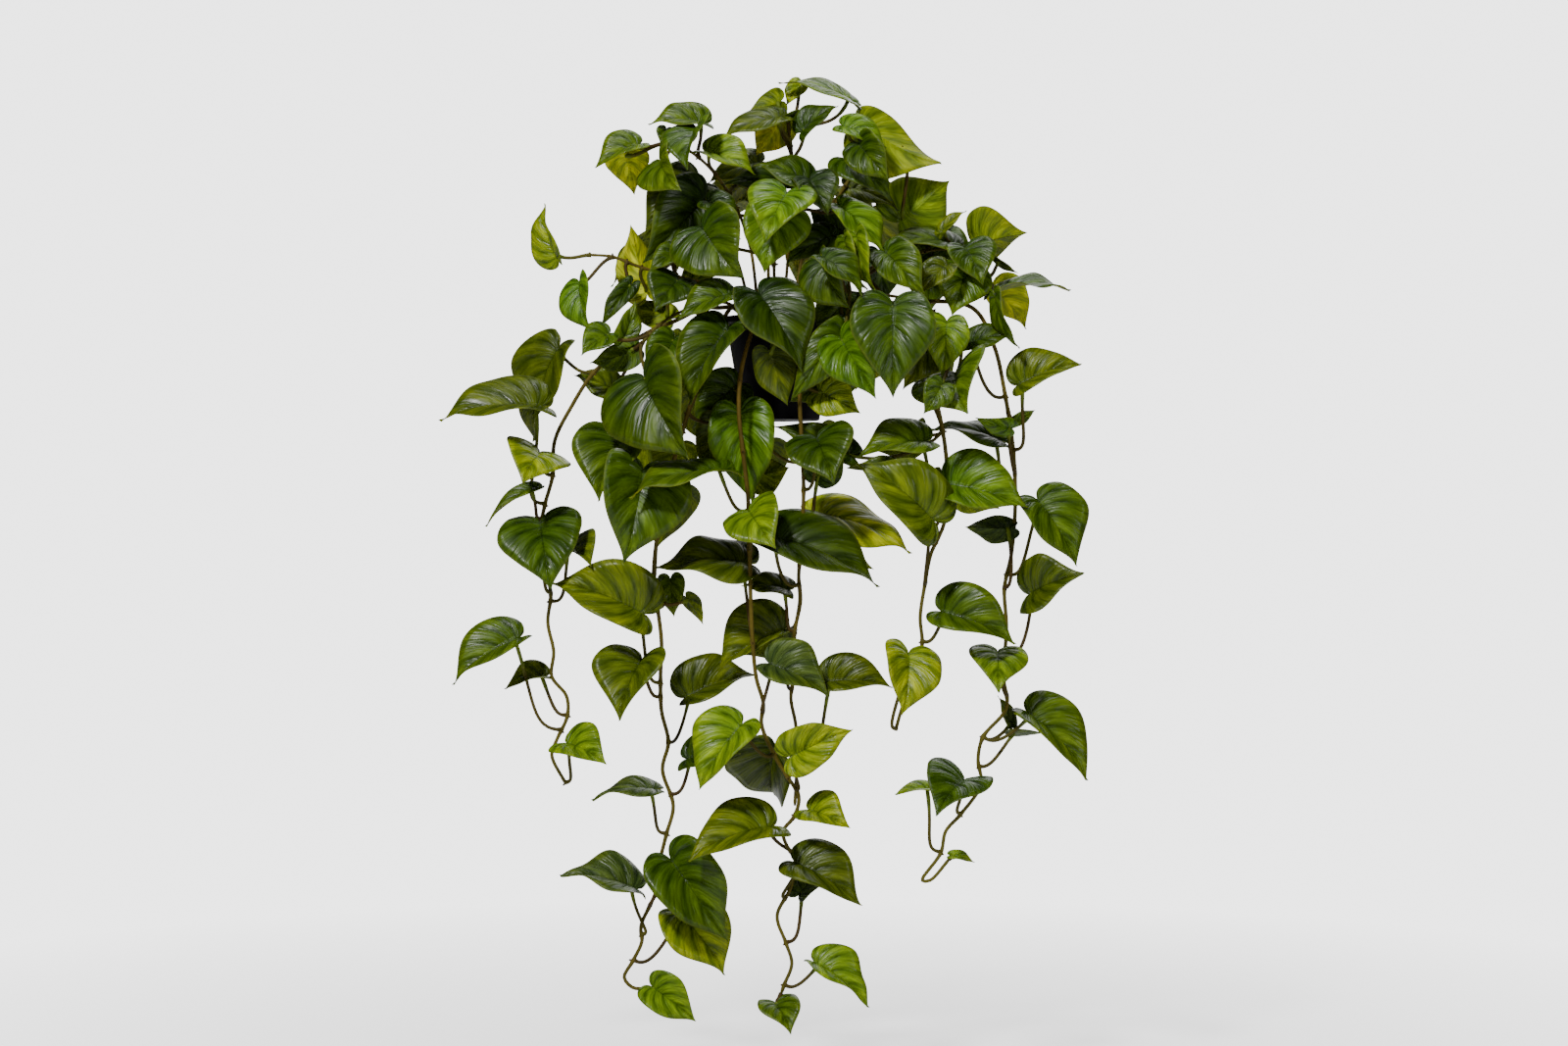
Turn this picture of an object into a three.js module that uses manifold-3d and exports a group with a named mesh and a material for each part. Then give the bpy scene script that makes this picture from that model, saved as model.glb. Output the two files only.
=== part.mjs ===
// A trailing pothos in a small round pot that hangs by its lip.
// Millimetres, +Z up. The origin is on the pot's axis, in the plane of the flat underside of its lip,
// and the side that is seen from the front looks along -Y.

import * as THREE from 'three';
import { mergeVertices } from 'three/addons/utils/BufferGeometryUtils.js';
import Module from 'manifold-3d';

const wasm = await Module();
wasm.setup();

// Pot and soil
const LIP_RADIUS = 61;
const LIP_HEIGHT = 7;
const WALL_TOP_RADIUS = 56;
const BASE_RADIUS = 39;
const POT_DEPTH = 98;
const WALL = 1.6;
const FLOOR = 2.4;
const POT_SIDES = 20;
const SOIL_LEVEL = -6;
const SOIL_MOUND = 3;
const CLEARANCE = 0.4;

// Stems and leaf stalks
const STEM_RADIUS = 2.2;
const STEM_SIDES = 3;
const STEM_STEP = 36;
const STALK_RADIUS = 1.1;
const STALK_SIDES = 3;
const STALK_STEPS = 2;
const SHORT_STALK = 36;
const STALK_IN_BLADE = 4;
const STALK_BELOW = 0.9;
const STALK_LEAN = 1;
const STALK_SET_OFF = 0.3;
const STALK_ARRIVAL = 0.25;
const STALK_DIP = 0.15;
const STALK_SAG = 0.3;
const ROOT_DEPTH = 13;
const ROOT_STRAIGHT = 5;
const LIP_INSIDE = 12;
const LIP_OUTSIDE = 4;
const LIP_RISE = 9;
const HOLE_DEPTH = 14;
const HOLE_RADIUS = STEM_RADIUS + 1;
const HOLE_SIDES = 5;

// Colours
const POT_BLACK = 0x0e0c12;
const SOIL_BROWN = 0x2b2018;
const LEAF_GREEN = 0x4a6b12;

// Leaf blades
const BLADE_THICKNESS = 0.9;
const BLADE_ARCH = 0.08;

// The stems' and leaves' places are read on an upright plane through the pot's axis, in millimetres across
// from the plane's left edge and down from its top edge, as seen from VIEW_DISTANCE in front of it.
// Depth is measured behind that plane, so what is nearer to the eye has a negative depth.
const PLANE_AXIS = 797;
const PLANE_LIP = 331;
const VIEW_DISTANCE = 3000;
const VIEW_ACROSS = 800;
const VIEW_DOWN = 533.5;
const TO_EYE = new THREE.Vector3(0, -1, 0);
const TO_SKY = new THREE.Vector3(0, 0, 1);

// A leaf's row: across, down and depth where the stalk meets the blade, the same for the tip, then
//   turn   degrees about the midrib that bring the half on its left hand (looking to the tip) to the eye
//   fold   degrees by which both halves rise from the midrib to the eye
//   width  of the blade over its length
//   face   1 where the upper side is seen and -1 where the underside is
//   foot   point of the stem's route that the stalk grows from, counted from 0, which is the place
//          over the lip on a stem that trails
const READ_STEMS = [
  {
    name: 'stem_left',
    hole: [-37, -8],
    trails: true,
    route: [
      [718, 314, -20], [690, 327, -26], [665, 337, -30], [640, 352, -33], [606, 380, -36],
      [583, 415, -38], [566, 450, -38], [564, 485, -38], [556, 515, -38], [551, 545, -34], [556, 580, -32],
      [562, 605, -32], [559, 635, -32], [565, 665, -32], [563, 690, -32], [578, 710, -32], [579, 730, -32],
      [568, 755, -32], [563, 770, -32], [577, 799, -32],
    ],
    leaves: [
      [570, 355, -8, 541, 450, 12, 50, 16, 0.86, 1, 5],
      [551, 415, -50, 447, 427, -60, 59, 18, 0.86, 1, 9],
      [551, 461, -50, 532, 491, -104, 0, 10, 1.1, 1, 8],
      [546, 499, -48, 494, 536, -60, 60, 25, 0.4, 1, 9.5],
      [551, 532, -46, 562, 601, -84, 0, 12, 1.1, 1, 12],
      [578, 560, -30, 605, 575, -80, -50, 30, 1, 1, 12.3],
      [529, 651, -36, 460, 697, -50, 50, 27, 0.86, 1, 17.6],
      [557, 690, -22, 514, 702, -30, 52, 32, 0.86, 1, 17],
      [578, 758, -44, 619, 779, -78, -40, 22, 0.95, 1, 20],
    ],
  },
  {
    name: 'stem_left_middle',
    hole: [-28, -26],
    trails: true,
    route: [
      [735, 332, -58], [716, 380, -64], [696, 440, -64], [680, 500, -62], [671, 545, -60],
      [667, 590, -58], [671, 620, -58], [675, 655, -56], [674, 690, -56], [675, 725, -58], [682, 757, -58],
      [676, 785, -58], [687, 822, -58], [680, 851, -58], [673, 880, -56], [669, 910, -56], [654, 945, -58],
      [655, 960, -58], [646, 980, -58], [637, 997, -58], [645, 1007, -58], [657, 1009, -60],
    ],
    leaves: [
      [632, 446, -60, 608, 511, -96, 22, 26, 1.05, 1, 3],
      [656, 479, -92, 637, 574, -124, -18, 22, 1.05, 1, 5],
      [657, 626, -68, 563, 591, -64, 29, 29, 0.86, 1, 9.2],
      [684, 590, -36, 687, 630, -42, 0, 30, 0.86, 1, 7],
      [655, 672, -68, 631, 735, -108, 29, 29, 1.13, 1, 9.6],
      [668, 805, -60, 603, 814, -64, 77, 5, 0.86, 1, 14],
      [701, 774, -62, 756, 768, -78, -45, 20, 0.86, 1, 12.7],
      [700, 711, -20, 772, 686, 0, -43, 33, 0.9, 1, 11],
      [648, 906, -60, 571, 892, -70, 64, 19, 0.86, 1, 17.6],
      [684, 876, -70, 742, 962, -80, -10, 35, 0.86, 1, 16.4],
      [692, 930, -54, 742, 994, -62, -25, 28, 1, 1, 19],
      [665, 1006, -64, 711, 1042, -72, -13, 30, 0.86, 1, 22],
      [694, 452, -40, 670, 492, -52, 10, -10, 1, -1, 3],
      [738, 430, -53, 714, 480, -56, 10, -10, 0.9, -1, 2.7],
      [700, 609, -50, 718, 637, -44, 20, -25, 0.6, -1, 6.8],
    ],
  },
  {
    name: 'stem_centre',
    hole: [-11, -36],
    trails: true,
    route: [
      [768, 335, -84], [756, 380, -96], [754, 420, -100], [758, 460, -100], [763, 505, -94],
      [765, 560, -86], [766, 610, -84], [768, 655, -82], [772, 693, -78], [779, 718, -78], [777, 738, -78],
      [790, 770, -78], [804, 793, -76], [815, 812, -76], [811, 832, -76], [799, 848, -76], [803, 863, -76],
      [811, 876, -72], [807, 905, -72], [793, 934, -72], [802, 962, -72], [808, 983, -72], [800, 1005, -72],
      [797, 1014, -70],
    ],
    leaves: [
      [755, 420, -64, 765, 514, -70, 0, 25, 0.8, 1, 4],
      [738, 480, -106, 640, 505, -130, 70, 8, 0.8, 1, 5.3],
      [764, 521, -114, 790, 560, -160, 0, 14, 1, 1, 6],
      [762, 574, -62, 668, 578, -66, 54, 5, 0.8, 1, 8],
      [785, 677, -94, 848, 708, -102, -36, 31, 0.95, 1, 10.4],
      [757, 739, -90, 713, 806, -104, 38, 26, 0.95, 1, 12],
      [791, 760, -50, 788, 812, 12, 28, 40, 1.1, 1, 13],
      [786, 843, -84, 700, 876, -112, 53, 20, 0.86, 1, 17.5],
      [806, 772, -92, 870, 742, -100, -8, 28, 0.8, 1, 13.7],
      [825, 826, -80, 867, 845, -108, -39, 25, 0.95, 1, 15],
      [812, 880, -82, 880, 924, -94, -45, 24, 0.9, 1, 19.4],
      [816, 912, -62, 850, 885, -40, -60, 10, 0.86, 1, 21],
      [832, 982, -76, 888, 1027, -84, -54, 30, 0.86, 1, 23],
      [791, 1023, -76, 808, 1055, -112, -28, 18, 0.95, 1, 24],
      [752, 392, -38, 706, 436, -38, 10, 15, 0.85, 1, 2.2],
      [768, 486, -44, 806, 477, -50, -20, -10, 1.1, -1, 6],
    ],
  },
  {
    name: 'stem_centre_right',
    hole: [12, -36],
    trails: true,
    route: [
      [820, 345, -82], [816, 400, -88], [818, 450, -90], [820, 500, -90], [818, 550, -88],
      [815, 590, -84], [817, 612, -82], [811, 645, -80], [810, 690, -76], [807, 712, -72], [812, 740, -66],
      [813, 780, -62], [811, 822, -62],
    ],
    leaves: [
      [833, 446, -106, 852, 493, -150, 0, 15, 1.1, 1, 4],
      [834, 488, -82, 850, 440, -74, 20, 22, 0.86, 1, 5],
      [830, 523, -60, 932, 562, -68, -57, -2, 0.8, 1, 5.6],
      [787, 548, -108, 899, 597, -120, -53, 16, 0.8, 1, 6.3],
      [804, 601, -74, 756, 597, -70, 60, 8, 0.95, 1, 8],
      [800, 643, -30, 730, 683, -36, 45, 38, 1.05, 1, 9.6],
      [843, 695, -72, 912, 700, -76, -45, 30, 0.86, 1, 12],
      [836, 399, -78, 878, 422, -92, -10, 12, 0.95, 1, 1.8],
      [860, 378, -62, 806, 412, -62, 10, 12, 0.8, 1, 1.4],
    ],
  },
  {
    name: 'stem_right_middle',
    hole: [31, -22],
    trails: true,
    route: [
      [880, 326, -62], [925, 365, -66], [952, 402, -66], [962, 440, -62], [967, 500, -60],
      [963, 535, -60], [950, 565, -60], [944, 595, -60], [939, 630, -60], [941, 655, -58], [936, 690, -54],
      [922, 718, -54], [914, 744, -54],
    ],
    leaves: [
      [953, 531, -104, 874, 469, -106, 28, 18, 0.82, 1, 8],
      [945, 450, -72, 874, 464, -86, 50, 18, 0.86, 1, 5.2],
      [968, 494, -70, 1050, 519, -86, -34, 26, 0.95, 1, 6.6],
      [927, 666, -74, 922, 730, -106, -20, 22, 1, 1, 13],
      [961, 624, -66, 1038, 655, -80, -35, 32, 0.9, 1, 10],
      [868, 464, -50, 788, 432, -54, 25, 10, 0.42, 1, 4],
      [920, 481, -50, 864, 477, -62, 30, 10, 0.45, 1, 5],
    ],
  },
  {
    name: 'stem_right',
    hole: [38, -5],
    trails: true,
    route: [
      [930, 308, -20], [992, 314, -30], [1014, 352, -36], [1026, 405, -38], [1034, 460, -40],
      [1036, 515, -40], [1032, 565, -40], [1025, 600, -38], [1027, 640, -36], [1024, 690, -36],
      [1027, 722, -40], [1003, 752, -40], [998, 775, -40], [1001, 800, -40], [980, 831, -40],
      [965, 848, -40], [960, 870, -40], [941, 898, -40], [949, 898, -38], [969, 876, -36],
    ],
    leaves: [
      [988, 350, -52, 1035, 342, -58, -40, 15, 0.75, 1, 4],
      [1040, 392, -46, 1104, 370, -50, -42, 28, 0.9, 1, 5],
      [1032, 437, -60, 995, 427, -82, -20, 10, 0.5, 1, 5.4],
      [1020, 449, -46, 950, 436, -40, 66, 5, 0.8, 1, 5.8],
      [1060, 510, -54, 1101, 578, -66, -30, 22, 0.98, 1, 7.6],
      [1032, 538, -46, 984, 537, -62, 20, -20, 0.6, -1, 8],
      [1050, 606, -52, 1106, 585, -92, -33, 25, 1, 1, 9.6],
      [1018, 664, -56, 1018, 706, -104, 0, 10, 0.95, 1, 10.6],
      [1049, 727, -52, 1112, 795, -64, -47, 25, 0.86, 1, 12],
      [1032, 747, -26, 1078, 742, -22, 80, 0, 0.8, 1, 13.3],
      [1033, 741, -28, 1018, 709, -26, 40, 10, 0.5, 1, 12],
      [984, 795, -52, 954, 831, -102, 33, 25, 1.13, 1, 15],
      [950, 805, -44, 913, 810, -50, 69, 14, 0.8, 1, 17],
      [970, 873, -38, 995, 880, -36, -50, 25, 0.6, 1, 20],
      [1034, 431, -32, 1057, 418, -28, 0, 10, 0.5, 1, 4.3],
    ],
  },
  {
    name: 'crown_top_left',
    hole: [-22, 4],
    route: [
      [772, 300, -4], [765, 250, -10], [748, 205, -16], [725, 172, -20], [700, 152, -22], [680, 146, -22],
    ],
    leaves: [
      [719, 125, -20, 661, 126, -26, 50, 21, 0.86, 1, 3.5],
      [680, 131, -22, 674, 147, -26, 10, 20, 1, 1, 5],
      [652, 147, -30, 607, 171, -42, 45, 23, 0.9, 1, 5],
      [638, 156, -22, 648, 198, 14, 0, -10, 0.85, -1, 5],
      [673, 163, -40, 693, 196, -84, 33, 23, 0.95, 1, 4.5],
      [711, 131, -44, 699, 173, -88, 40, 30, 0.95, 1, 4],
      [720, 155, -40, 771, 178, -60, -40, 30, 0.86, 1, 2.8],
      [722, 205, -36, 755, 228, -42, -30, 20, 0.9, 1, 1.8],
      [775, 165, 4, 722, 186, -2, 40, 12, 0.7, 1, 2.2],
    ],
  },
  {
    name: 'crown_top',
    hole: [2, 10],
    route: [[801, 300, 6], [805, 250, 6], [808, 200, 4], [808, 160, 0], [806, 138, -2]],
    leaves: [
      [797, 119, -24, 735, 142, -36, 52, 8, 0.7, 1, 3.5],
      [797, 122, -12, 770, 158, -4, 0, -12, 1, -1, 3],
      [797, 103, -6, 763, 114, 6, 0, -10, 0.85, -1, 4],
      [869, 103, -10, 794, 82, -14, 71, 5, 0.8, 1, 4],
      [818, 134, -32, 855, 107, -36, -43, 17, 0.86, 1, 2.8],
      [803, 120, -20, 825, 110, -20, 40, 10, 0.5, 1, 4],
      [817, 84, 6, 802, 107, 2, 20, 10, 0.8, 1, 4],
      [808, 183, -16, 735, 187, -22, 20, 10, 0.4, 1, 2.4],
    ],
  },
  {
    name: 'crown_top_right',
    hole: [18, 12],
    route: [
      [822, 298, 10], [840, 240, 8], [862, 190, 4], [888, 160, 0], [920, 152, -4], [945, 165, -6],
    ],
    leaves: [
      [860, 128, -50, 905, 150, -56, -40, 15, 0.8, 1, 3],
      [876, 146, -62, 908, 184, -80, 15, 20, 0.86, 1, 3],
      [881, 128, -20, 961, 168, -16, -30, -22, 0.92, -1, 3.2],
      [918, 226, 2, 968, 183, 4, -4, -12, 1.25, -1, 4],
      [862, 162, -34, 912, 203, -50, -25, 15, 0.8, 1, 2.6],
      [864, 190, 16, 918, 214, 6, -35, 12, 0.55, 1, 2],
    ],
  },
  {
    name: 'crown_right',
    hole: [34, 10],
    route: [
      [846, 300, 10], [890, 272, 6], [935, 258, 0], [975, 255, -6], [1000, 270, -10], [1012, 292, -12],
    ],
    leaves: [
      [960, 238, -20, 986, 214, -22, -50, 15, 0.6, 1, 3],
      [997, 251, -2, 1048, 238, 24, 30, -28, 1.2, -1, 4],
      [985, 252, -26, 1002, 292, -60, -15, 20, 1, 1, 3.4],
      [985, 275, -34, 972, 322, -54, 0, 12, 1.1, 1, 4],
      [966, 270, -58, 940, 300, -70, 30, 15, 0.86, 1, 2.8],
      [975, 250, -16, 905, 245, -26, 60, 5, 0.86, 1, 3],
      [1015, 298, -26, 1093, 294, -32, -77, 9, 0.86, 1, 5],
      [1014, 294, 12, 1049, 335, 26, 34, -25, 0.95, -1, 5],
      [1015, 302, -66, 1039, 357, -72, 70, 5, 0.6, 1, 5],
      [952, 240, 28, 946, 322, 16, 0, 12, 0.95, 1, 2.2],
      [1016, 265, -8, 1039, 279, -6, 30, 5, 0.3, 1, 4.6],
    ],
  },
  {
    name: 'crown_centre',
    hole: [-6, -18],
    route: [[791, 300, -28], [790, 270, -42], [795, 240, -52], [806, 215, -56]],
    leaves: [
      [826, 186, -44, 768, 168, -50, 50, 10, 0.86, 1, 3],
      [826, 183, -52, 845, 220, -70, -20, 25, 1.1, 1, 3],
      [803, 196, -72, 780, 247, -112, 17, 17, 1, 1, 2.6],
      [795, 215, -64, 778, 278, -86, 0, 8, 1, 1, 2],
      [857, 210, -44, 904, 262, -56, -45, 10, 0.75, 1, 3],
      [716, 232, -60, 757, 286, -88, 15, 18, 1.15, 1, 1],
      [850, 240, -40, 800, 268, -52, 30, 10, 0.7, 1, 2],
      [864, 238, -18, 824, 214, -14, 0, 12, 0.85, 1, 2.4],
    ],
  },
  {
    name: 'crown_left',
    hole: [-34, 10],
    route: [
      [752, 305, 6], [720, 290, 0], [690, 282, -8], [655, 273, -14], [625, 262, -18], [602, 260, -20],
    ],
    leaves: [
      [569, 264, -28, 555, 207, -24, -54, 26, 0.86, 1, 5],
      [591, 288, -30, 602, 340, -50, 43, 22, 0.86, 1, 4],
      [660, 300, 0, 645, 229, 6, 20, -15, 0.7, -1, 3],
      [720, 203, -4, 657, 270, -30, 0, 28, 0.86, 1, 2],
      [692, 256, -42, 662, 277, -52, 30, 20, 0.8, 1, 2.4],
      [692, 285, -44, 668, 318, -70, 15, 15, 1.1, 1, 2],
      [644, 290, -22, 612, 334, -30, 10, 18, 0.42, 1, 3.5],
      [712, 188, 16, 655, 246, 2, 0, 10, 0.9, 1, 2],
      [684, 325, 6, 643, 303, 10, 30, -10, 0.8, -1, 2.2],
      [726, 270, 6, 690, 290, 8, 20, 10, 0.7, 1, 1.2],
    ],
  },
  {
    name: 'crown_left_low',
    hole: [-40, -16],
    route: [[748, 312, -24], [722, 308, -40], [695, 318, -50], [672, 332, -54], [655, 350, -56]],
    leaves: [
      [622, 340, -60, 592, 362, -74, 30, 20, 1, 1, 3.6],
      [636, 348, -42, 649, 306, -38, 20, 10, 0.6, 1, 3.4],
      [648, 356, -52, 602, 372, -58, 20, -10, 0.75, -1, 4],
      [657, 384, -92, 704, 468, -134, 30, 20, 1.1, 1, 4],
      [742, 336, -86, 700, 412, -106, 33, 30, 0.86, 1, 1.5],
      [688, 345, -62, 665, 398, -68, 10, 20, 0.8, 1, 3],
      [745, 300, -72, 690, 325, -88, 45, 15, 0.8, 1, 1],
      [628, 398, -6, 586, 381, -12, 20, 15, 0.8, 1, 4],
    ],
  },
  {
    name: 'crown_front',
    hole: [10, -26],
    route: [[810, 306, -46], [818, 288, -62], [836, 276, -72], [860, 272, -76], [885, 284, -78]],
    leaves: [
      [774, 299, -84, 820, 379, -112, -27, 17, 0.86, 1, 0.6],
      [837, 266, -90, 867, 317, -106, 40, 25, 1, 1, 2],
      [840, 262, -122, 882, 300, -134, -45, 15, 0.8, 1, 2.3],
      [862, 245, -92, 884, 297, -100, 60, 10, 0.6, 1, 3],
      [874, 240, -96, 893, 297, -106, 55, 10, 0.7, 1, 3.2],
      [903, 257, -80, 943, 302, -104, -12, 20, 0.8, 1, 3.8],
      [911, 310, -120, 910, 406, -140, 0, 15, 0.88, 1, 4],
      [858, 345, -106, 896, 406, -126, 11, 28, 0.86, 1, 3],
      [861, 338, -94, 806, 410, -100, 12, 12, 0.5, 1, 2.4],
      [785, 358, -96, 803, 415, -100, 0, -15, 0.75, -1, 1],
      [868, 300, -56, 832, 346, -66, 10, 12, 0.85, 1, 2.5],
      [898, 258, -40, 902, 312, -40, 0, 12, 0.8, 1, 3.5],
    ],
  },
  {
    name: 'crown_front_right',
    hole: [30, -12],
    route: [[846, 300, -30], [885, 300, -50], [925, 305, -60], [958, 322, -64], [980, 345, -64]],
    leaves: [
      [966, 328, -84, 962, 386, -96, 0, 15, 0.8, 1, 3.2],
      [975, 380, -78, 984, 423, -132, 30, 20, 1.3, 1, 4],
      [962, 392, -122, 943, 423, -128, 0, 15, 0.9, 1, 3.6],
      [950, 345, -70, 922, 398, -88, 0, 15, 0.8, 1, 2.8],
    ],
  },
  {
    name: 'stem_back_left',
    hole: [-20, 32],
    trails: true,
    route: [
      [735, 340, 70], [715, 390, 78], [696, 440, 80], [681, 500, 78], [671, 545, 74], [668, 590, 72],
    ],
    leaves: [
      [700, 352, 92, 672, 412, 118, 20, -20, 0.9, -1, 1.5],
      [718, 400, 100, 735, 462, 124, -20, -20, 0.9, -1, 2.2],
      [664, 440, 104, 640, 500, 130, 15, -20, 0.9, -1, 3.5],
      [690, 500, 100, 668, 560, 122, -10, -20, 0.9, -1, 4.4],
      [648, 612, 94, 592, 616, 112, -30, -20, 0.8, -1, 6],
    ],
  },
  {
    name: 'stem_back_centre',
    hole: [2, 36],
    trails: true,
    route: [
      [806, 345, 84], [816, 400, 92], [818, 450, 94], [820, 500, 94], [818, 550, 92], [815, 590, 90],
      [816, 612, 90], [811, 645, 90], [810, 682, 88],
    ],
    leaves: [
      [828, 352, 106, 852, 408, 134, -15, -20, 0.9, -1, 1.6],
      [790, 380, 112, 775, 440, 138, 15, -20, 0.9, -1, 2.2],
      [835, 440, 112, 850, 488, 134, 0, -20, 0.9, -1, 3.3],
      [784, 450, 108, 764, 502, 130, 8, -20, 0.85, -1, 3.4],
      [840, 548, 112, 892, 580, 130, -20, -20, 0.8, -1, 5],
      [800, 640, 108, 752, 668, 124, 20, -20, 0.8, -1, 7.8],
    ],
  },
  {
    name: 'stem_back_right',
    hole: [29, 24],
    trails: true,
    route: [
      [885, 335, 62], [925, 372, 72], [948, 405, 76], [962, 440, 76], [967, 500, 74], [963, 535, 74],
      [950, 565, 72],
    ],
    leaves: [
      [895, 345, 86, 872, 398, 112, 15, -20, 0.9, -1, 1.6],
      [950, 362, 96, 966, 412, 120, -10, -20, 0.9, -1, 2.5],
      [940, 440, 98, 892, 462, 112, 30, -20, 0.8, -1, 4],
      [955, 490, 98, 905, 505, 112, 30, -20, 0.8, -1, 5],
      [978, 498, 98, 1020, 518, 112, -20, -20, 0.8, -1, 5.2],
    ],
  },
];

// The stems of the crown's far side are hidden in the view that the others are read from.
// They grow by a rule:
//   azimuth  degrees around the pot's axis, from +X, in which the stem leans
//   reach    of its end from the axis
//   rise     of its highest place above the lip
//   seed     of the draws that vary it
const FAR_STEMS = [
  { name: 'crown_back_left', hole: [-30, 19], azimuth: 154, reach: 107, rise: 84, seed: 3 },
  { name: 'crown_back_left_middle', hole: [-12, 22], azimuth: 113, reach: 92, rise: 140, seed: 3 },
  { name: 'crown_back_right_middle', hole: [12, 24], azimuth: 74, reach: 128, rise: 84, seed: 31 },
  { name: 'crown_back_right', hole: [26, 12], azimuth: 36, reach: 104, rise: 128, seed: 3 },
];
const FAR_LEAVES = 4;
const FAR_ARC = 2.2;
const FAR_SPREAD = 1.4;
const FAR_SWAY = [-3, 3];
const FAR_STALK_ASIDE = [11, 16];
const FAR_STALK_OUT = [12, 20];
const FAR_STALK_UP = [8, 18];
const FAR_LEAF_OUT = 0.65;
const FAR_LEAF_ASIDE = [0.25, 0.45];
const FAR_LEAF_DOWN = [0.5, 0.8];
const FAR_FACE_OUT = 0.6;
const FAR_FACE_UP = 0.8;
const FAR_LENGTH = [54, 76];
const FAR_WIDTH = 0.88;
const FAR_FOLD = 20;

// Turns a place read on the upright plane into one in space.
function place(across, down, depth) {
  const spread = (VIEW_DISTANCE + depth) / VIEW_DISTANCE;
  const x = VIEW_ACROSS - PLANE_AXIS + (across - VIEW_ACROSS) * spread;
  const z = PLANE_LIP - VIEW_DOWN + (VIEW_DOWN - down) * spread;
  return new THREE.Vector3(x, depth, z);
}

function toSolid(geometry) {
  const plain = geometry.clone();
  plain.deleteAttribute('normal');
  plain.deleteAttribute('uv');
  const merged = mergeVertices(plain, 1e-4);
  const mesh = new wasm.Mesh({
    numProp: 3,
    vertProperties: Float32Array.from(merged.attributes.position.array),
    triVerts: Uint32Array.from(merged.index.array),
  });
  return new wasm.Manifold(mesh);
}

function toGeometry(solid) {
  const mesh = solid.getMesh();
  const geometry = new THREE.BufferGeometry();
  geometry.setAttribute('position', new THREE.BufferAttribute(mesh.vertProperties, 3));
  geometry.setIndex(new THREE.BufferAttribute(mesh.triVerts, 1));
  geometry.computeVertexNormals();
  return geometry;
}

// A round rod of few sides along a curve.
function rod(curve, radius, sides, steps) {
  const section = new THREE.Shape();
  for (let side = 0; side < sides; side += 1) {
    const angle = (2 * Math.PI * side) / sides;
    const x = radius * Math.cos(angle);
    const y = radius * Math.sin(angle);
    if (side === 0) section.moveTo(x, y);
    else section.lineTo(x, y);
  }
  section.closePath();
  const geometry = new THREE.ExtrudeGeometry(section, { steps, bevelEnabled: false, extrudePath: curve });
  return toSolid(geometry);
}

// The stem's line above its root: straight up from the soil, over the pot's lip if it trails, then along
// its route.
function stemLine(stem) {
  const [x, y] = stem.hole;
  const soilTop = SOIL_LEVEL + SOIL_MOUND;
  const points = [0, ROOT_STRAIGHT].map((height) => new THREE.Vector3(x, y, soilTop + height));
  let first = points.length;
  if (stem.trails) {
    const outward = new THREE.Vector3(x, y, 0).normalize();
    const overLip = (radius) => outward.clone().multiplyScalar(radius).setZ(LIP_HEIGHT + LIP_RISE);
    points.push(overLip(LIP_RADIUS - LIP_INSIDE));
    first = points.length;
    points.push(overLip(LIP_RADIUS + LIP_OUTSIDE));
  }
  points.push(...stem.route);
  const curve = new THREE.CatmullRomCurve3(points, false, 'centripetal');
  const steps = Math.ceil(curve.getLength() / STEM_STEP);
  return { curve, steps, at: (foot) => (first + foot) / (points.length - 1) };
}

// The stem stands in its hole on a straight root.
function stemRod(stem) {
  const { curve, steps } = stemLine(stem);
  const [x, y] = stem.hole;
  const rootLength = ROOT_DEPTH + SOIL_MOUND + ROOT_STRAIGHT / 2;
  const root = new THREE.CylinderGeometry(STEM_RADIUS, STEM_RADIUS, rootLength, STEM_SIDES);
  root.rotateX(Math.PI / 2);
  root.translate(x, y, SOIL_LEVEL - ROOT_DEPTH + rootLength / 2);
  return rod(curve, STEM_RADIUS, STEM_SIDES, steps).add(toSolid(root));
}

// The place on the stem's rod that is nearest to a foot on its route, and the way that the rod runs there.
function footOn(stem, foot) {
  const { curve, steps, at } = stemLine(stem);
  const wanted = curve.getPoint(at(foot));
  const points = curve.getSpacedPoints(steps);
  const found = { root: null, growth: null, distance: Infinity };
  for (let step = 0; step < steps; step += 1) {
    const piece = new THREE.Line3(points[step], points[step + 1]);
    const root = piece.closestPointToPoint(wanted, true, new THREE.Vector3());
    const distance = root.distanceTo(wanted);
    if (distance < found.distance) {
      const growth = piece.delta(new THREE.Vector3()).normalize();
      Object.assign(found, { root, growth, distance });
    }
  }
  return found;
}

// The right half of a heart with its base at 0 and its tip at 1, along the midrib, and 1 wide.
const LOBE = new THREE.CubicBezierCurve(
  new THREE.Vector2(0, 0),
  new THREE.Vector2(-0.22, 0.12),
  new THREE.Vector2(-0.24, 1),
  new THREE.Vector2(0.25, 1),
);
const FLANK = new THREE.CubicBezierCurve(
  new THREE.Vector2(0.25, 1),
  new THREE.Vector2(0.62, 1),
  new THREE.Vector2(0.8, 0.1),
  new THREE.Vector2(1, 0),
);
const EDGE = [LOBE.getPoint(0.55), LOBE.getPoint(1), FLANK.getPoint(0.5)];
const MIDRIB = [new THREE.Vector2(0, 0), new THREE.Vector2(0.4, 0), new THREE.Vector2(1, 0)];

// Triangles of one half, by number in the list of the three midrib points and then the edge points.
const HALF_BLADE = [[0, 3, 4], [0, 4, 1], [1, 4, 5], [1, 5, 2]];

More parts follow.
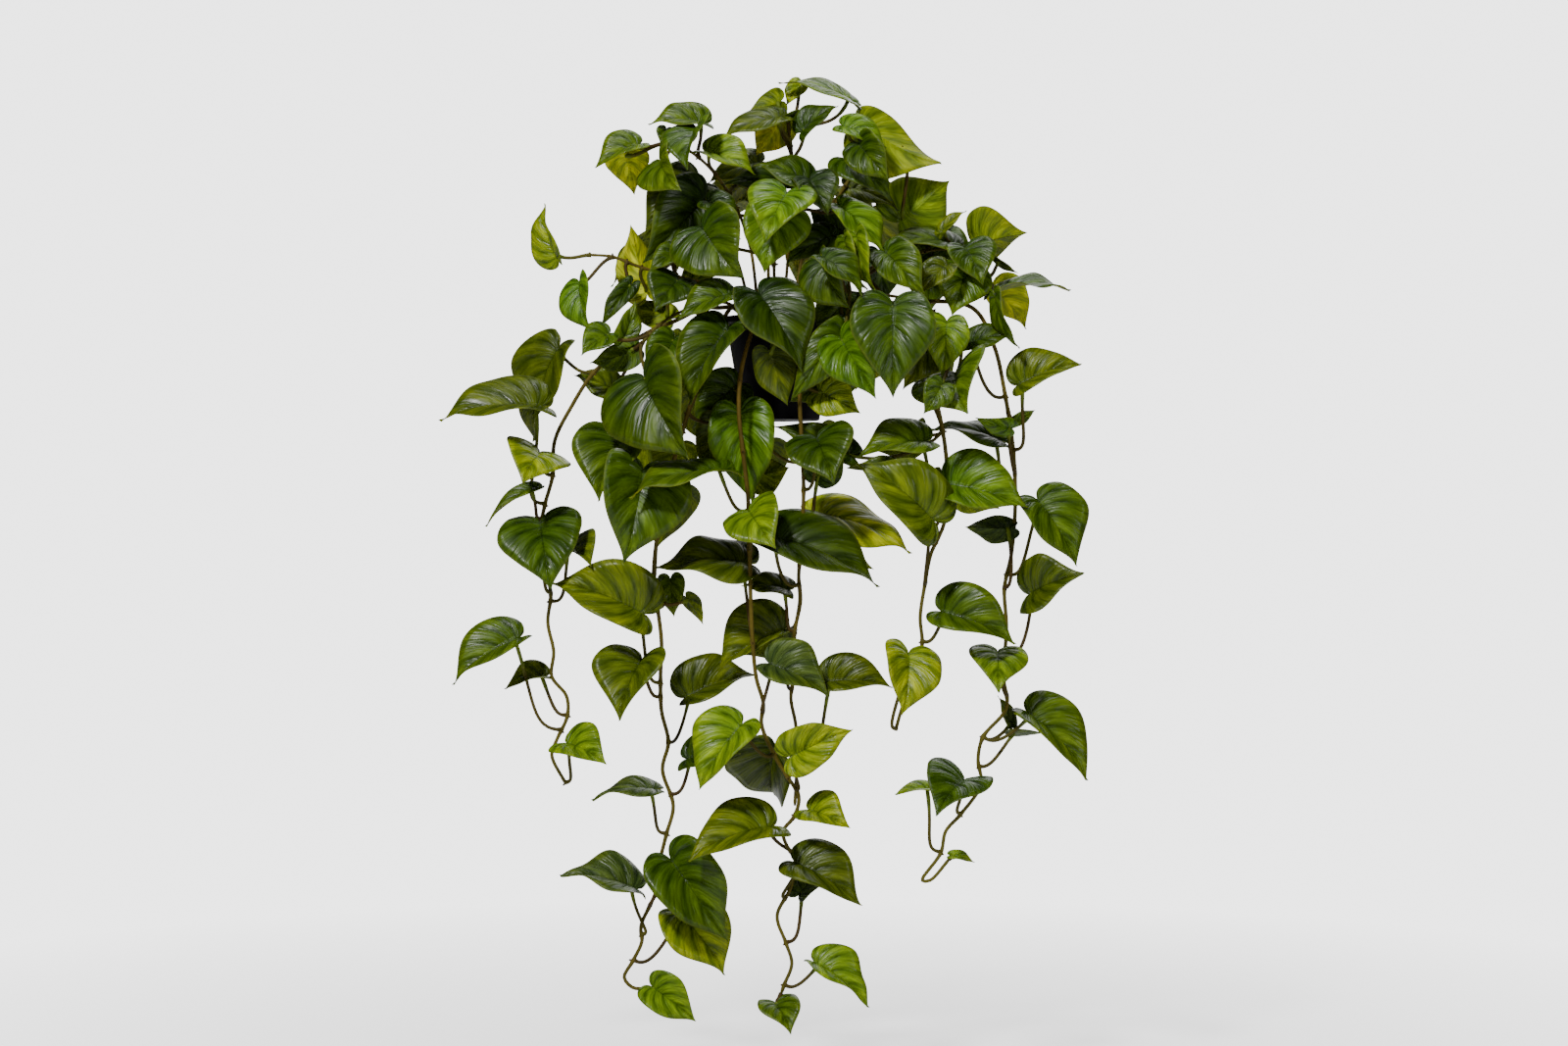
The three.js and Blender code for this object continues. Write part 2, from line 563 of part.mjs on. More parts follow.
// How a leaf lies: its base, its length, the directions along it and out along each half, and its upper
// side. Both halves rise from the midrib towards the seen side by the fold.
function leafFrame(base, tip, seenSide, fold, width, face) {
  const length = base.distanceTo(tip);
  const along = tip.clone().sub(base).normalize();
  const outLeft = seenSide.clone().cross(along);
  const rise = THREE.MathUtils.degToRad(fold);
  const halfWidth = (width * length) / 2;
  const half = (side) => outLeft.clone().multiplyScalar(side * Math.cos(rise))
    .addScaledVector(seenSide, Math.sin(rise))
    .multiplyScalar(halfWidth);
  const upper = seenSide.clone().multiplyScalar(face);
  return { base, along, length, leftHalf: half(1), rightHalf: half(-1), upper };
}

function frameFromRow(row) {
  const [baseAcross, baseDown, baseDepth, tipAcross, tipDown, tipDepth, turn, fold, width, face] = row;
  const base = place(baseAcross, baseDown, baseDepth);
  const tip = place(tipAcross, tipDown, tipDepth);
  const along = tip.clone().sub(base).normalize();
  const front = TO_EYE.clone().addScaledVector(along, -TO_EYE.dot(along)).normalize();
  const left = front.clone().cross(along);
  const roll = THREE.MathUtils.degToRad(turn);
  const seenSide = front.clone().multiplyScalar(Math.cos(roll)).addScaledVector(left, -Math.sin(roll));
  return leafFrame(base, tip, seenSide, fold, width, face);
}

// Draws numbers from 0 to 1 that are the same every time.
function drawsFrom(seed) {
  let state = seed;
  return () => {
    state = (state * 16807) % 2147483647;
    return state / 2147483647;
  };
}

// A stem of the far side with its leaves, which stand by turns to either side of it and hang outwards.
function farStem({ name, hole, azimuth, reach, rise, seed }) {
  const draw = drawsFrom(seed);
  const between = ([least, most]) => THREE.MathUtils.lerp(least, most, draw());
  const angle = THREE.MathUtils.degToRad(azimuth);
  const outward = new THREE.Vector3(Math.cos(angle), Math.sin(angle), 0);
  const sideways = TO_SKY.clone().cross(outward);
  const root = new THREE.Vector3(hole[0], hole[1], 0);
  const end = outward.clone().multiplyScalar(reach);
  const route = [];
  const leaves = [];
  for (let step = 1; step <= FAR_LEAVES; step += 1) {
    const part = (step + 1) / (FAR_LEAVES + 1);
    const side = step % 2 === 0 ? 1 : -1;
    const height = LIP_HEIGHT + rise * Math.sin(FAR_ARC * part);
    const point = root.clone()
      .lerp(end, part ** FAR_SPREAD)
      .setZ(height)
      .addScaledVector(sideways, between(FAR_SWAY));
    route.push(point);
    const base = point.clone()
      .addScaledVector(sideways, side * between(FAR_STALK_ASIDE))
      .addScaledVector(outward, between(FAR_STALK_OUT))
      .addScaledVector(TO_SKY, between(FAR_STALK_UP));
    const along = outward.clone()
      .multiplyScalar(FAR_LEAF_OUT)
      .addScaledVector(sideways, side * between(FAR_LEAF_ASIDE))
      .addScaledVector(TO_SKY, -between(FAR_LEAF_DOWN))
      .normalize();
    const tip = base.clone().addScaledVector(along, between(FAR_LENGTH));
    const upper = outward.clone().multiplyScalar(FAR_FACE_OUT).addScaledVector(TO_SKY, FAR_FACE_UP);
    upper.addScaledVector(along, -upper.dot(along)).normalize();
    leaves.push({ frame: leafFrame(base, tip, upper, FAR_FOLD, FAR_WIDTH, 1), foot: step - 1 });
  }
  return { name, hole, route, leaves };
}

function readStem({ name, hole, trails, route, leaves }) {
  return {
    name,
    hole,
    trails,
    route: route.map(([across, down, depth]) => place(across, down, depth)),
    leaves: leaves.map((row) => ({ frame: frameFromRow(row), foot: row[10] })),
  };
}

function bladePoint(frame, point, half) {
  const arch = 4 * BLADE_ARCH * frame.length * point.x * (1 - point.x);
  return frame.base.clone()
    .addScaledVector(frame.along, point.x * frame.length)
    .addScaledVector(half, point.y)
    .addScaledVector(frame.upper, arch);
}

// A heart-shaped blade: both halves of the heart, folded at the midrib and arched along it.
function blade(frame) {
  const rim = [0, ...EDGE.map((point, index) => MIDRIB.length + index), MIDRIB.length - 1];
  const corners = [];
  const addCorner = (point, half) => corners.push(bladePoint(frame, point, half));
  MIDRIB.forEach((point) => addCorner(point, frame.leftHalf));
  EDGE.forEach((point) => addCorner(point, frame.leftHalf));
  EDGE.forEach((point) => addCorner(point, frame.rightHalf));
  const count = corners.length;
  const toUnderside = frame.upper.clone().multiplyScalar(-BLADE_THICKNESS);
  const underside = corners.map((corner) => corner.clone().add(toUnderside));
  const onRight = (index) => (index < MIDRIB.length ? index : index + EDGE.length);
  const triangles = [];
  for (const [a, b, c] of HALF_BLADE) {
    triangles.push([a, b, c], [a + count, c + count, b + count]);
    const [d, e, f] = [a, b, c].map(onRight);
    triangles.push([d, f, e], [d + count, e + count, f + count]);
  }
  for (let step = 0; step + 1 < rim.length; step += 1) {
    const from = rim[step];
    const to = rim[step + 1];
    triangles.push([to, from, from + count], [to, from + count, to + count]);
    const [back, fore] = [onRight(from), onRight(to)];
    triangles.push([back, fore, back + count], [fore, fore + count, back + count]);
  }
  const across = frame.leftHalf.clone().sub(frame.rightHalf);
  const turnsOut = across.cross(frame.along).dot(frame.upper) > 0;
  const geometry = new THREE.BufferGeometry().setFromPoints([...corners, ...underside]);
  geometry.setIndex(triangles.flatMap(([a, b, c]) => (turnsOut ? [a, b, c] : [a, c, b])));
  return toSolid(geometry);
}

// A leaf stalk: it leaves the stem the way that the stem grows and comes up to the blade from below.
// A short one is straight.
function stalk(stem, { frame, foot }) {
  const { root, growth } = footOn(stem, foot);
  const [notch, middle] = MIDRIB.map((point) => bladePoint(frame, point, frame.leftHalf));
  const start = root.clone().addScaledVector(growth, -STEM_RADIUS / 2);
  const top = notch.clone()
    .addScaledVector(middle.clone().sub(notch).normalize(), STALK_IN_BLADE)
    .addScaledVector(frame.upper, -STALK_BELOW);
  const span = root.distanceTo(notch);
  if (span < SHORT_STALK) return rod(new THREE.LineCurve3(start, top), STALK_RADIUS, STALK_SIDES, 1);
  const heading = notch.clone().sub(root).normalize();
  const climb = 0.5 + (0.5 * (notch.z - root.z)) / span;
  const setOff = growth.clone().multiplyScalar(STALK_LEAN).add(heading).normalize();
  const lower = root.clone().addScaledVector(setOff, STALK_SET_OFF * span);
  const upper = notch.clone()
    .lerp(root, STALK_ARRIVAL)
    .addScaledVector(frame.upper, -STALK_DIP * span)
    .addScaledVector(TO_SKY, -STALK_SAG * climb * span);
  const line = new THREE.CubicBezierCurve3(start, lower, upper, top);
  return rod(line, STALK_RADIUS, STALK_SIDES, STALK_STEPS);
}

function leafyStem(stem) {
  let solid = stemRod(stem);
  for (const leaf of stem.leaves) solid = solid.add(stalk(stem, leaf)).add(blade(leaf.frame));
  return solid;
}

function lathe(profile) {
  const points = profile.map(([radius, height]) => new THREE.Vector2(radius, height));
  const geometry = new THREE.LatheGeometry(points, POT_SIDES);
  geometry.rotateX(Math.PI / 2);
  return toSolid(geometry);
}

function pot() {
  const slope = (WALL_TOP_RADIUS - BASE_RADIUS) / POT_DEPTH;
  const innerBase = BASE_RADIUS + slope * FLOOR - WALL;
  const innerTop = WALL_TOP_RADIUS + slope * LIP_HEIGHT - WALL;
  return lathe([
    [0, -POT_DEPTH],
    [BASE_RADIUS, -POT_DEPTH],
    [WALL_TOP_RADIUS, 0],
    [LIP_RADIUS, 0],
    [LIP_RADIUS, LIP_HEIGHT],
    [innerTop, LIP_HEIGHT],
    [innerBase, FLOOR - POT_DEPTH],
    [0, FLOOR - POT_DEPTH],
  ]);
}

function soil() {
  const slope = (WALL_TOP_RADIUS - BASE_RADIUS) / POT_DEPTH;
  const innerRadius = (height) => WALL_TOP_RADIUS + slope * height - WALL - CLEARANCE;
  const bottom = FLOOR - POT_DEPTH + CLEARANCE;
  let solid = lathe([
    [0, bottom],
    [innerRadius(bottom), bottom],
    [innerRadius(SOIL_LEVEL), SOIL_LEVEL],
    [0, SOIL_LEVEL + SOIL_MOUND],
  ]);
  const depth = HOLE_DEPTH + 2 * SOIL_MOUND;
  for (const { hole: [x, y] } of STEMS) {
    const hole = new THREE.CylinderGeometry(HOLE_RADIUS, HOLE_RADIUS, depth, HOLE_SIDES);
    hole.rotateX(Math.PI / 2);
    hole.translate(x, y, SOIL_LEVEL - HOLE_DEPTH + depth / 2);
    solid = solid.subtract(toSolid(hole));
  }
  return solid;
}

const STEMS = [...READ_STEMS.map(readStem), ...FAR_STEMS.map(farStem)];

function addPiece(group, name, solid, color, roughness) {
  const material = new THREE.MeshStandardMaterial({ color, roughness, metalness: 0 });
  const mesh = new THREE.Mesh(toGeometry(solid), material);
  mesh.name = name;
  group.add(mesh);
}

const plant = new THREE.Group();
addPiece(plant, 'pot', pot(), POT_BLACK, 0.5);
addPiece(plant, 'soil', soil(), SOIL_BROWN, 0.95);
for (const stem of STEMS) addPiece(plant, stem.name, leafyStem(stem), LEAF_GREEN, 0.35);

export default plant;
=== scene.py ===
"""The looks of a trailing pothos in a small round pot that hangs by its lip."""

import math

import bpy
import numpy as np
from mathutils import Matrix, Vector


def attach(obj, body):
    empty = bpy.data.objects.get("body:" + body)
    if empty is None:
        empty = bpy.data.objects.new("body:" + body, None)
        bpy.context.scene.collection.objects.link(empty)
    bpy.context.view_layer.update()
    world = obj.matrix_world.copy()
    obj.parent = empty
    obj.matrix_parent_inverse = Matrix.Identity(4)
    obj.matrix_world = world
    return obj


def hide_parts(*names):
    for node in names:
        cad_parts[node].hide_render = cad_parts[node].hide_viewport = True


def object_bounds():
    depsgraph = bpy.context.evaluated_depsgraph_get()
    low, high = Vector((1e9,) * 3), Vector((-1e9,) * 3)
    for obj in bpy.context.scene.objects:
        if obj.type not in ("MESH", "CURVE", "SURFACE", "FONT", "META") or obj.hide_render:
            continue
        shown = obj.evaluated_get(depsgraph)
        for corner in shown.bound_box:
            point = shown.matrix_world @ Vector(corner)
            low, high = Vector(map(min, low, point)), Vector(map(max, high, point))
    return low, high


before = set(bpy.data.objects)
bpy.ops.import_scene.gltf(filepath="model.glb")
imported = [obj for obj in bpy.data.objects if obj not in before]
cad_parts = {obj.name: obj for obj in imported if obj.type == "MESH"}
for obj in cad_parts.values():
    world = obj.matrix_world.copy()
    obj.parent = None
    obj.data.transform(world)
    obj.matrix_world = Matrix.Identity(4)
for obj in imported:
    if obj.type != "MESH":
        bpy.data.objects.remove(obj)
cad_low, cad_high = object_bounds()

# Everything is worked out in millimetres, as in the part's source, and scaled when a mesh is made.
MM = 0.001
UP = np.array([0.0, 0.0, 1.0])
TURN = 2 * math.pi
BOX_ROOM = 0.2

# Pot and soil
LIP_RADIUS = 61
LIP_HEIGHT = 7
WALL_TOP_RADIUS = 56
BASE_RADIUS = 39
POT_DEPTH = 98
WALL = 1.6
FLOOR = 2.4
POT_SIDES = 96
POT_SLOPE = (WALL_TOP_RADIUS - BASE_RADIUS) / POT_DEPTH
POT_ROUNDING = 1.2
SOIL_LEVEL = -6
SOIL_MOUND = 3
SOIL_RINGS = 26
SOIL_INNERMOST = 2
SOIL_SEED = 11
SOIL_ROUGHNESS = 1.3
CLEARANCE = 0.4
CRUMBS = 140
CRUMB_SIZE = (1.2, 3.2)
CRUMB_LEVEL = 2.2
CRUMB_REACH = 0.85
CRUMB_SPREAD = (0.6, 1.2)
CRUMB_FLATNESS = (1, 1, 0.6)
OCTAHEDRON = ((1, 0, 0), (-1, 0, 0), (0, 1, 0), (0, -1, 0), (0, 0, 1), (0, 0, -1))
OCTAHEDRON_FACES = ((0, 2, 4), (2, 1, 4), (1, 3, 4), (3, 0, 4), (2, 0, 5), (1, 2, 5), (3, 1, 5), (0, 3, 5))

# Stems
STEM_SEED = 100
STEM_RADIUS = 2.3
CROWN_STEM_RADIUS = 1.8
STEM_TAPER = 0.22
STEM_END = 0.6
STEM_SIDES = 10
STEM_STEP = 4
NODE_SWELL = 0.55
NODE_LENGTH = 3.5
ROOT_DEPTH = 13
ROOT_STRAIGHT = 5
LIP_INSIDE = 12
LIP_OUTSIDE = 4
LIP_RISE = 9
NUB_REACH = (0.8, 2.2)
NUB_RADII = (1.3, 1.0, 0.4)
NUB_SHARES = (0.3, 0.8, 1.0)
NUB_LEAN = 0.8
NUB_SIDES = 6
ASKEW = (0.31, 0.52, 0.79)

# Leaf stalks. The shares of a stalk's span say where its curve's inner places lie.
STALK_RADIUS = 1.8
STALK_SIDES = 8
STALK_STEPS = 16
STALK_IN_BLADE = 4
STALK_SINK = 0.6
STALK_LEAVE = 0.3
STALK_NEAR = 0.25
STALK_UNDER = 0.15
STALK_SAG = 0.3
FLARE = 0.9
FLARE_LENGTH = 4
JOINT_RADIUS = 2.2
JOINT_START = 0.84
JOINT_END = 1.04
JOINT_RISE = 0.05
JOINT_FALL = 0.06
JOINT_BLUR = 0.08

# Leaf blades. Depths of waves, bows and bends are shares of a blade's length, and those of grooves and ribs
# are millimetres.
LOBE = ((0, 0), (-0.22, 0.12), (-0.24, 1), (0.25, 1))
FLANK = ((0.25, 1), (0.62, 1), (0.8, 0.1), (1, 0))
BLADE_ARCH = 0.08
BLADE_MIDDLE = 0.4
BLADE_THICKNESS = 0.45
TINY_BLADE = 30
SMALL_BLADE = 45
VEINS = (3, 5, 7)
ROWS_A_VEIN = 6
COLUMNS = 7
CROWDING = 1.15
VEIN_BOW = 0.06
CUP = 0.035
WAVE = 0.042
WAVES = (1.4, 2.6)
WAVE_SPREAD = (0.7, 1.3)
WAVE_EDGE = 2.5
QUILT = 0.032
QUILT_FADE = 1.25
QUILT_RIDGE = 0.6
QUILT_LEVEL = 0.65
EDGE_SWAY = 0.05
SWAY_PACE = 1.3
SWAY_LAG = 2
TIP_START = 0.7
TIP_DROOP = 0.05
TIP_SWAY = 0.05
GROOVE_DEPTH = 0.7
GROOVE_REACH = 0.07
RIB_DEPTH = 0.9
RIB_REACH = 0.06
# Shares of these that are gone at the tip
QUILT_LOSS, GROOVE_LOSS, RIB_LOSS = 0.6, 0.7, 0.8

# The view that the stems' and leaves' places are read in
PLANE_AXIS = 797
PLANE_LIP = 331
VIEW_DISTANCE = 3000
VIEW_ACROSS = 800
VIEW_DOWN = 533.5
TO_EYE = np.array([0.0, -1.0, 0.0])
IMAGE_WIDTH = 1600
SENSOR = 36

# Colours of the side of a leaf that is seen, as linear red, green and blue, with painted light and shade in
# them
# The darker tones paint shade on leaves in shadow; bright and yellow partly paint light falling on or
# through a leaf
TONES = {
    "darkest": (0.006, 0.021, 0.001),
    "dark": (0.013, 0.037, 0.001),
    "deep": (0.023, 0.056, 0.001),
    "mid": (0.037, 0.078, 0.001),
    "fresh": (0.049, 0.118, 0.001),
    "bright": (0.085, 0.160, 0.001),
    "olive": (0.054, 0.085, 0.001),
    "olive_dark": (0.033, 0.053, 0.001),
    "yellow": (0.122, 0.184, 0.001),
    # Painted light: the gold tone paints light shining through a leaf from behind
    "gold": (0.330, 0.410, 0.006),
    # Painted sheen: the grey tone's extra blue paints a silvery sheen on dark leaves
    "grey": (0.028, 0.054, 0.012),
}
UNDERSIDE = (0.230, 0.290, 0.030)
UNDERSIDE_SHARE = 0.6
TONE_SPREAD = (0.9, 1.15)
PALER = (1.8, 1.3, 0.8)
PALER_YELLOW = 0.35
PALE_EDGE = 0.5
PALE_TIP = 0.6
PALE_SPREAD = (0.3, 1.2)
STALK_BROWN = (0.040, 0.024, 0.005)
STALK_GREEN = (0.060, 0.056, 0.006)
JOINT_PALE = (0.090, 0.125, 0.012)
STEM_BROWN = (0.060, 0.036, 0.004)
STEM_OLIVE = (0.078, 0.072, 0.008)
OLIVE_AT_ROOT, OLIVE_AT_END = (0, 0.4), (0.5, 1)

# How far a noise or the place in a leaf goes to vary a colour, and pairs of factors that vary it
PATCHY = (0.3, 0.7)
BULGE_SHADING_SPAN = (0.02, 0.36)
BLOTCHED = ((0.72, 0.78, 0.90), (1.28, 1.20, 1.0))
# Streak and pleat factors give lighter and darker bands, partly fine striping and partly painted sheen
STREAK_SHEEN = ((0.56, 0.60, 0.62), (1.46, 1.40, 1.3))
PLEAT_SHEEN = ((0.88, 0.89, 0.90), (1.10, 1.09, 1.06))
# Painted shade darkens the blade by the sunken side veins and painted light brightens the bulges between
BULGE_SHADING = ((0.66, 0.72, 0.74), (1.18, 1.12, 1.0))
BARK_PATCHED = ((0.8, 0.8, 0.8), (1.25, 1.2, 1.15))
BARK_GRAINED = ((0.88, 0.88, 0.88), (1.1, 1.1, 1.1))

# Surface of a leaf. Places out from the midrib go from 0 there to 1 at the edge. The relief is in metres.
BLOTCH_SCALE = 38.0
VEIN_BREADTH = (0.13, 0.04)
VEIN_FADE = (0.5, 0.95)
VEIN_CHANGE = 1.4
VEIN_STRENGTH = (0.36, 0.6, 0.3, 1.0)
MIDRIB_BREADTH = 0.06
STREAK_SCALES = ((1.6, 3.0), (2.5, 8.0))
STREAK_SHARES = (0.6, 0.4)
STREAK_RANGE = (0.36, 0.64)
PLEATS = 4.0
PLEAT_SWAY = 2.5
STREAK_HEIGHT, VEIN_HEIGHT, PLEAT_HEIGHT = 0.8, -0.5, 0.12
RELIEF = 0.0020
RELIEF_STRENGTH = (0.8, 1.0, 0.52, 0.1)
GLOSS_SPREAD = (-0.10, 0.12)
EDGE_DULL = (0.92, 1.0, 0.0, 0.4)
RIM_START = 0.95
RIM_SHARE = 0.6
RIM_PALE = (0.10, 0.125, 0.012)
THROUGH = (1.9, 1.7, 0.6)
LEAF_SPECULAR = 0.22
LEAF_IOR = 1.45

# Colours of the pot and the soil
POT_BLACK, POT_WORN = (0.0022, 0.0014, 0.0030), (0.0045, 0.0034, 0.0060)
SOIL_DARK, SOIL_LIGHT = (0.012, 0.008, 0.005), (0.060, 0.038, 0.022)
WHITE = (1.0, 1.0, 1.0)

# Studio, in metres: a pale floor below the lowest leaf, and lights with their places, sizes and watts
FLOOR_DROP = 0.06
FLOOR_HALF = 40.0
FLOOR_PALE = (0.9, 0.9, 0.9)
FLOOR_FADE = (0.3, 1.6)
BACKDROP = 3.4
ROOM_LIGHT = 0.10
LIT_PLACE = (0, 0, -0.2)
LIGHTS = (
    ("key", (-1.1, -2.3, 2.0), 0.45, 151),
    ("fill", (2.2, -2.2, 0.6), 0.9, 26),
    ("top", (0.3, 0.4, 2.4), 0.9, 34),
    ("back", (0.8, 2.6, 1.2), 2.4, 42),
)
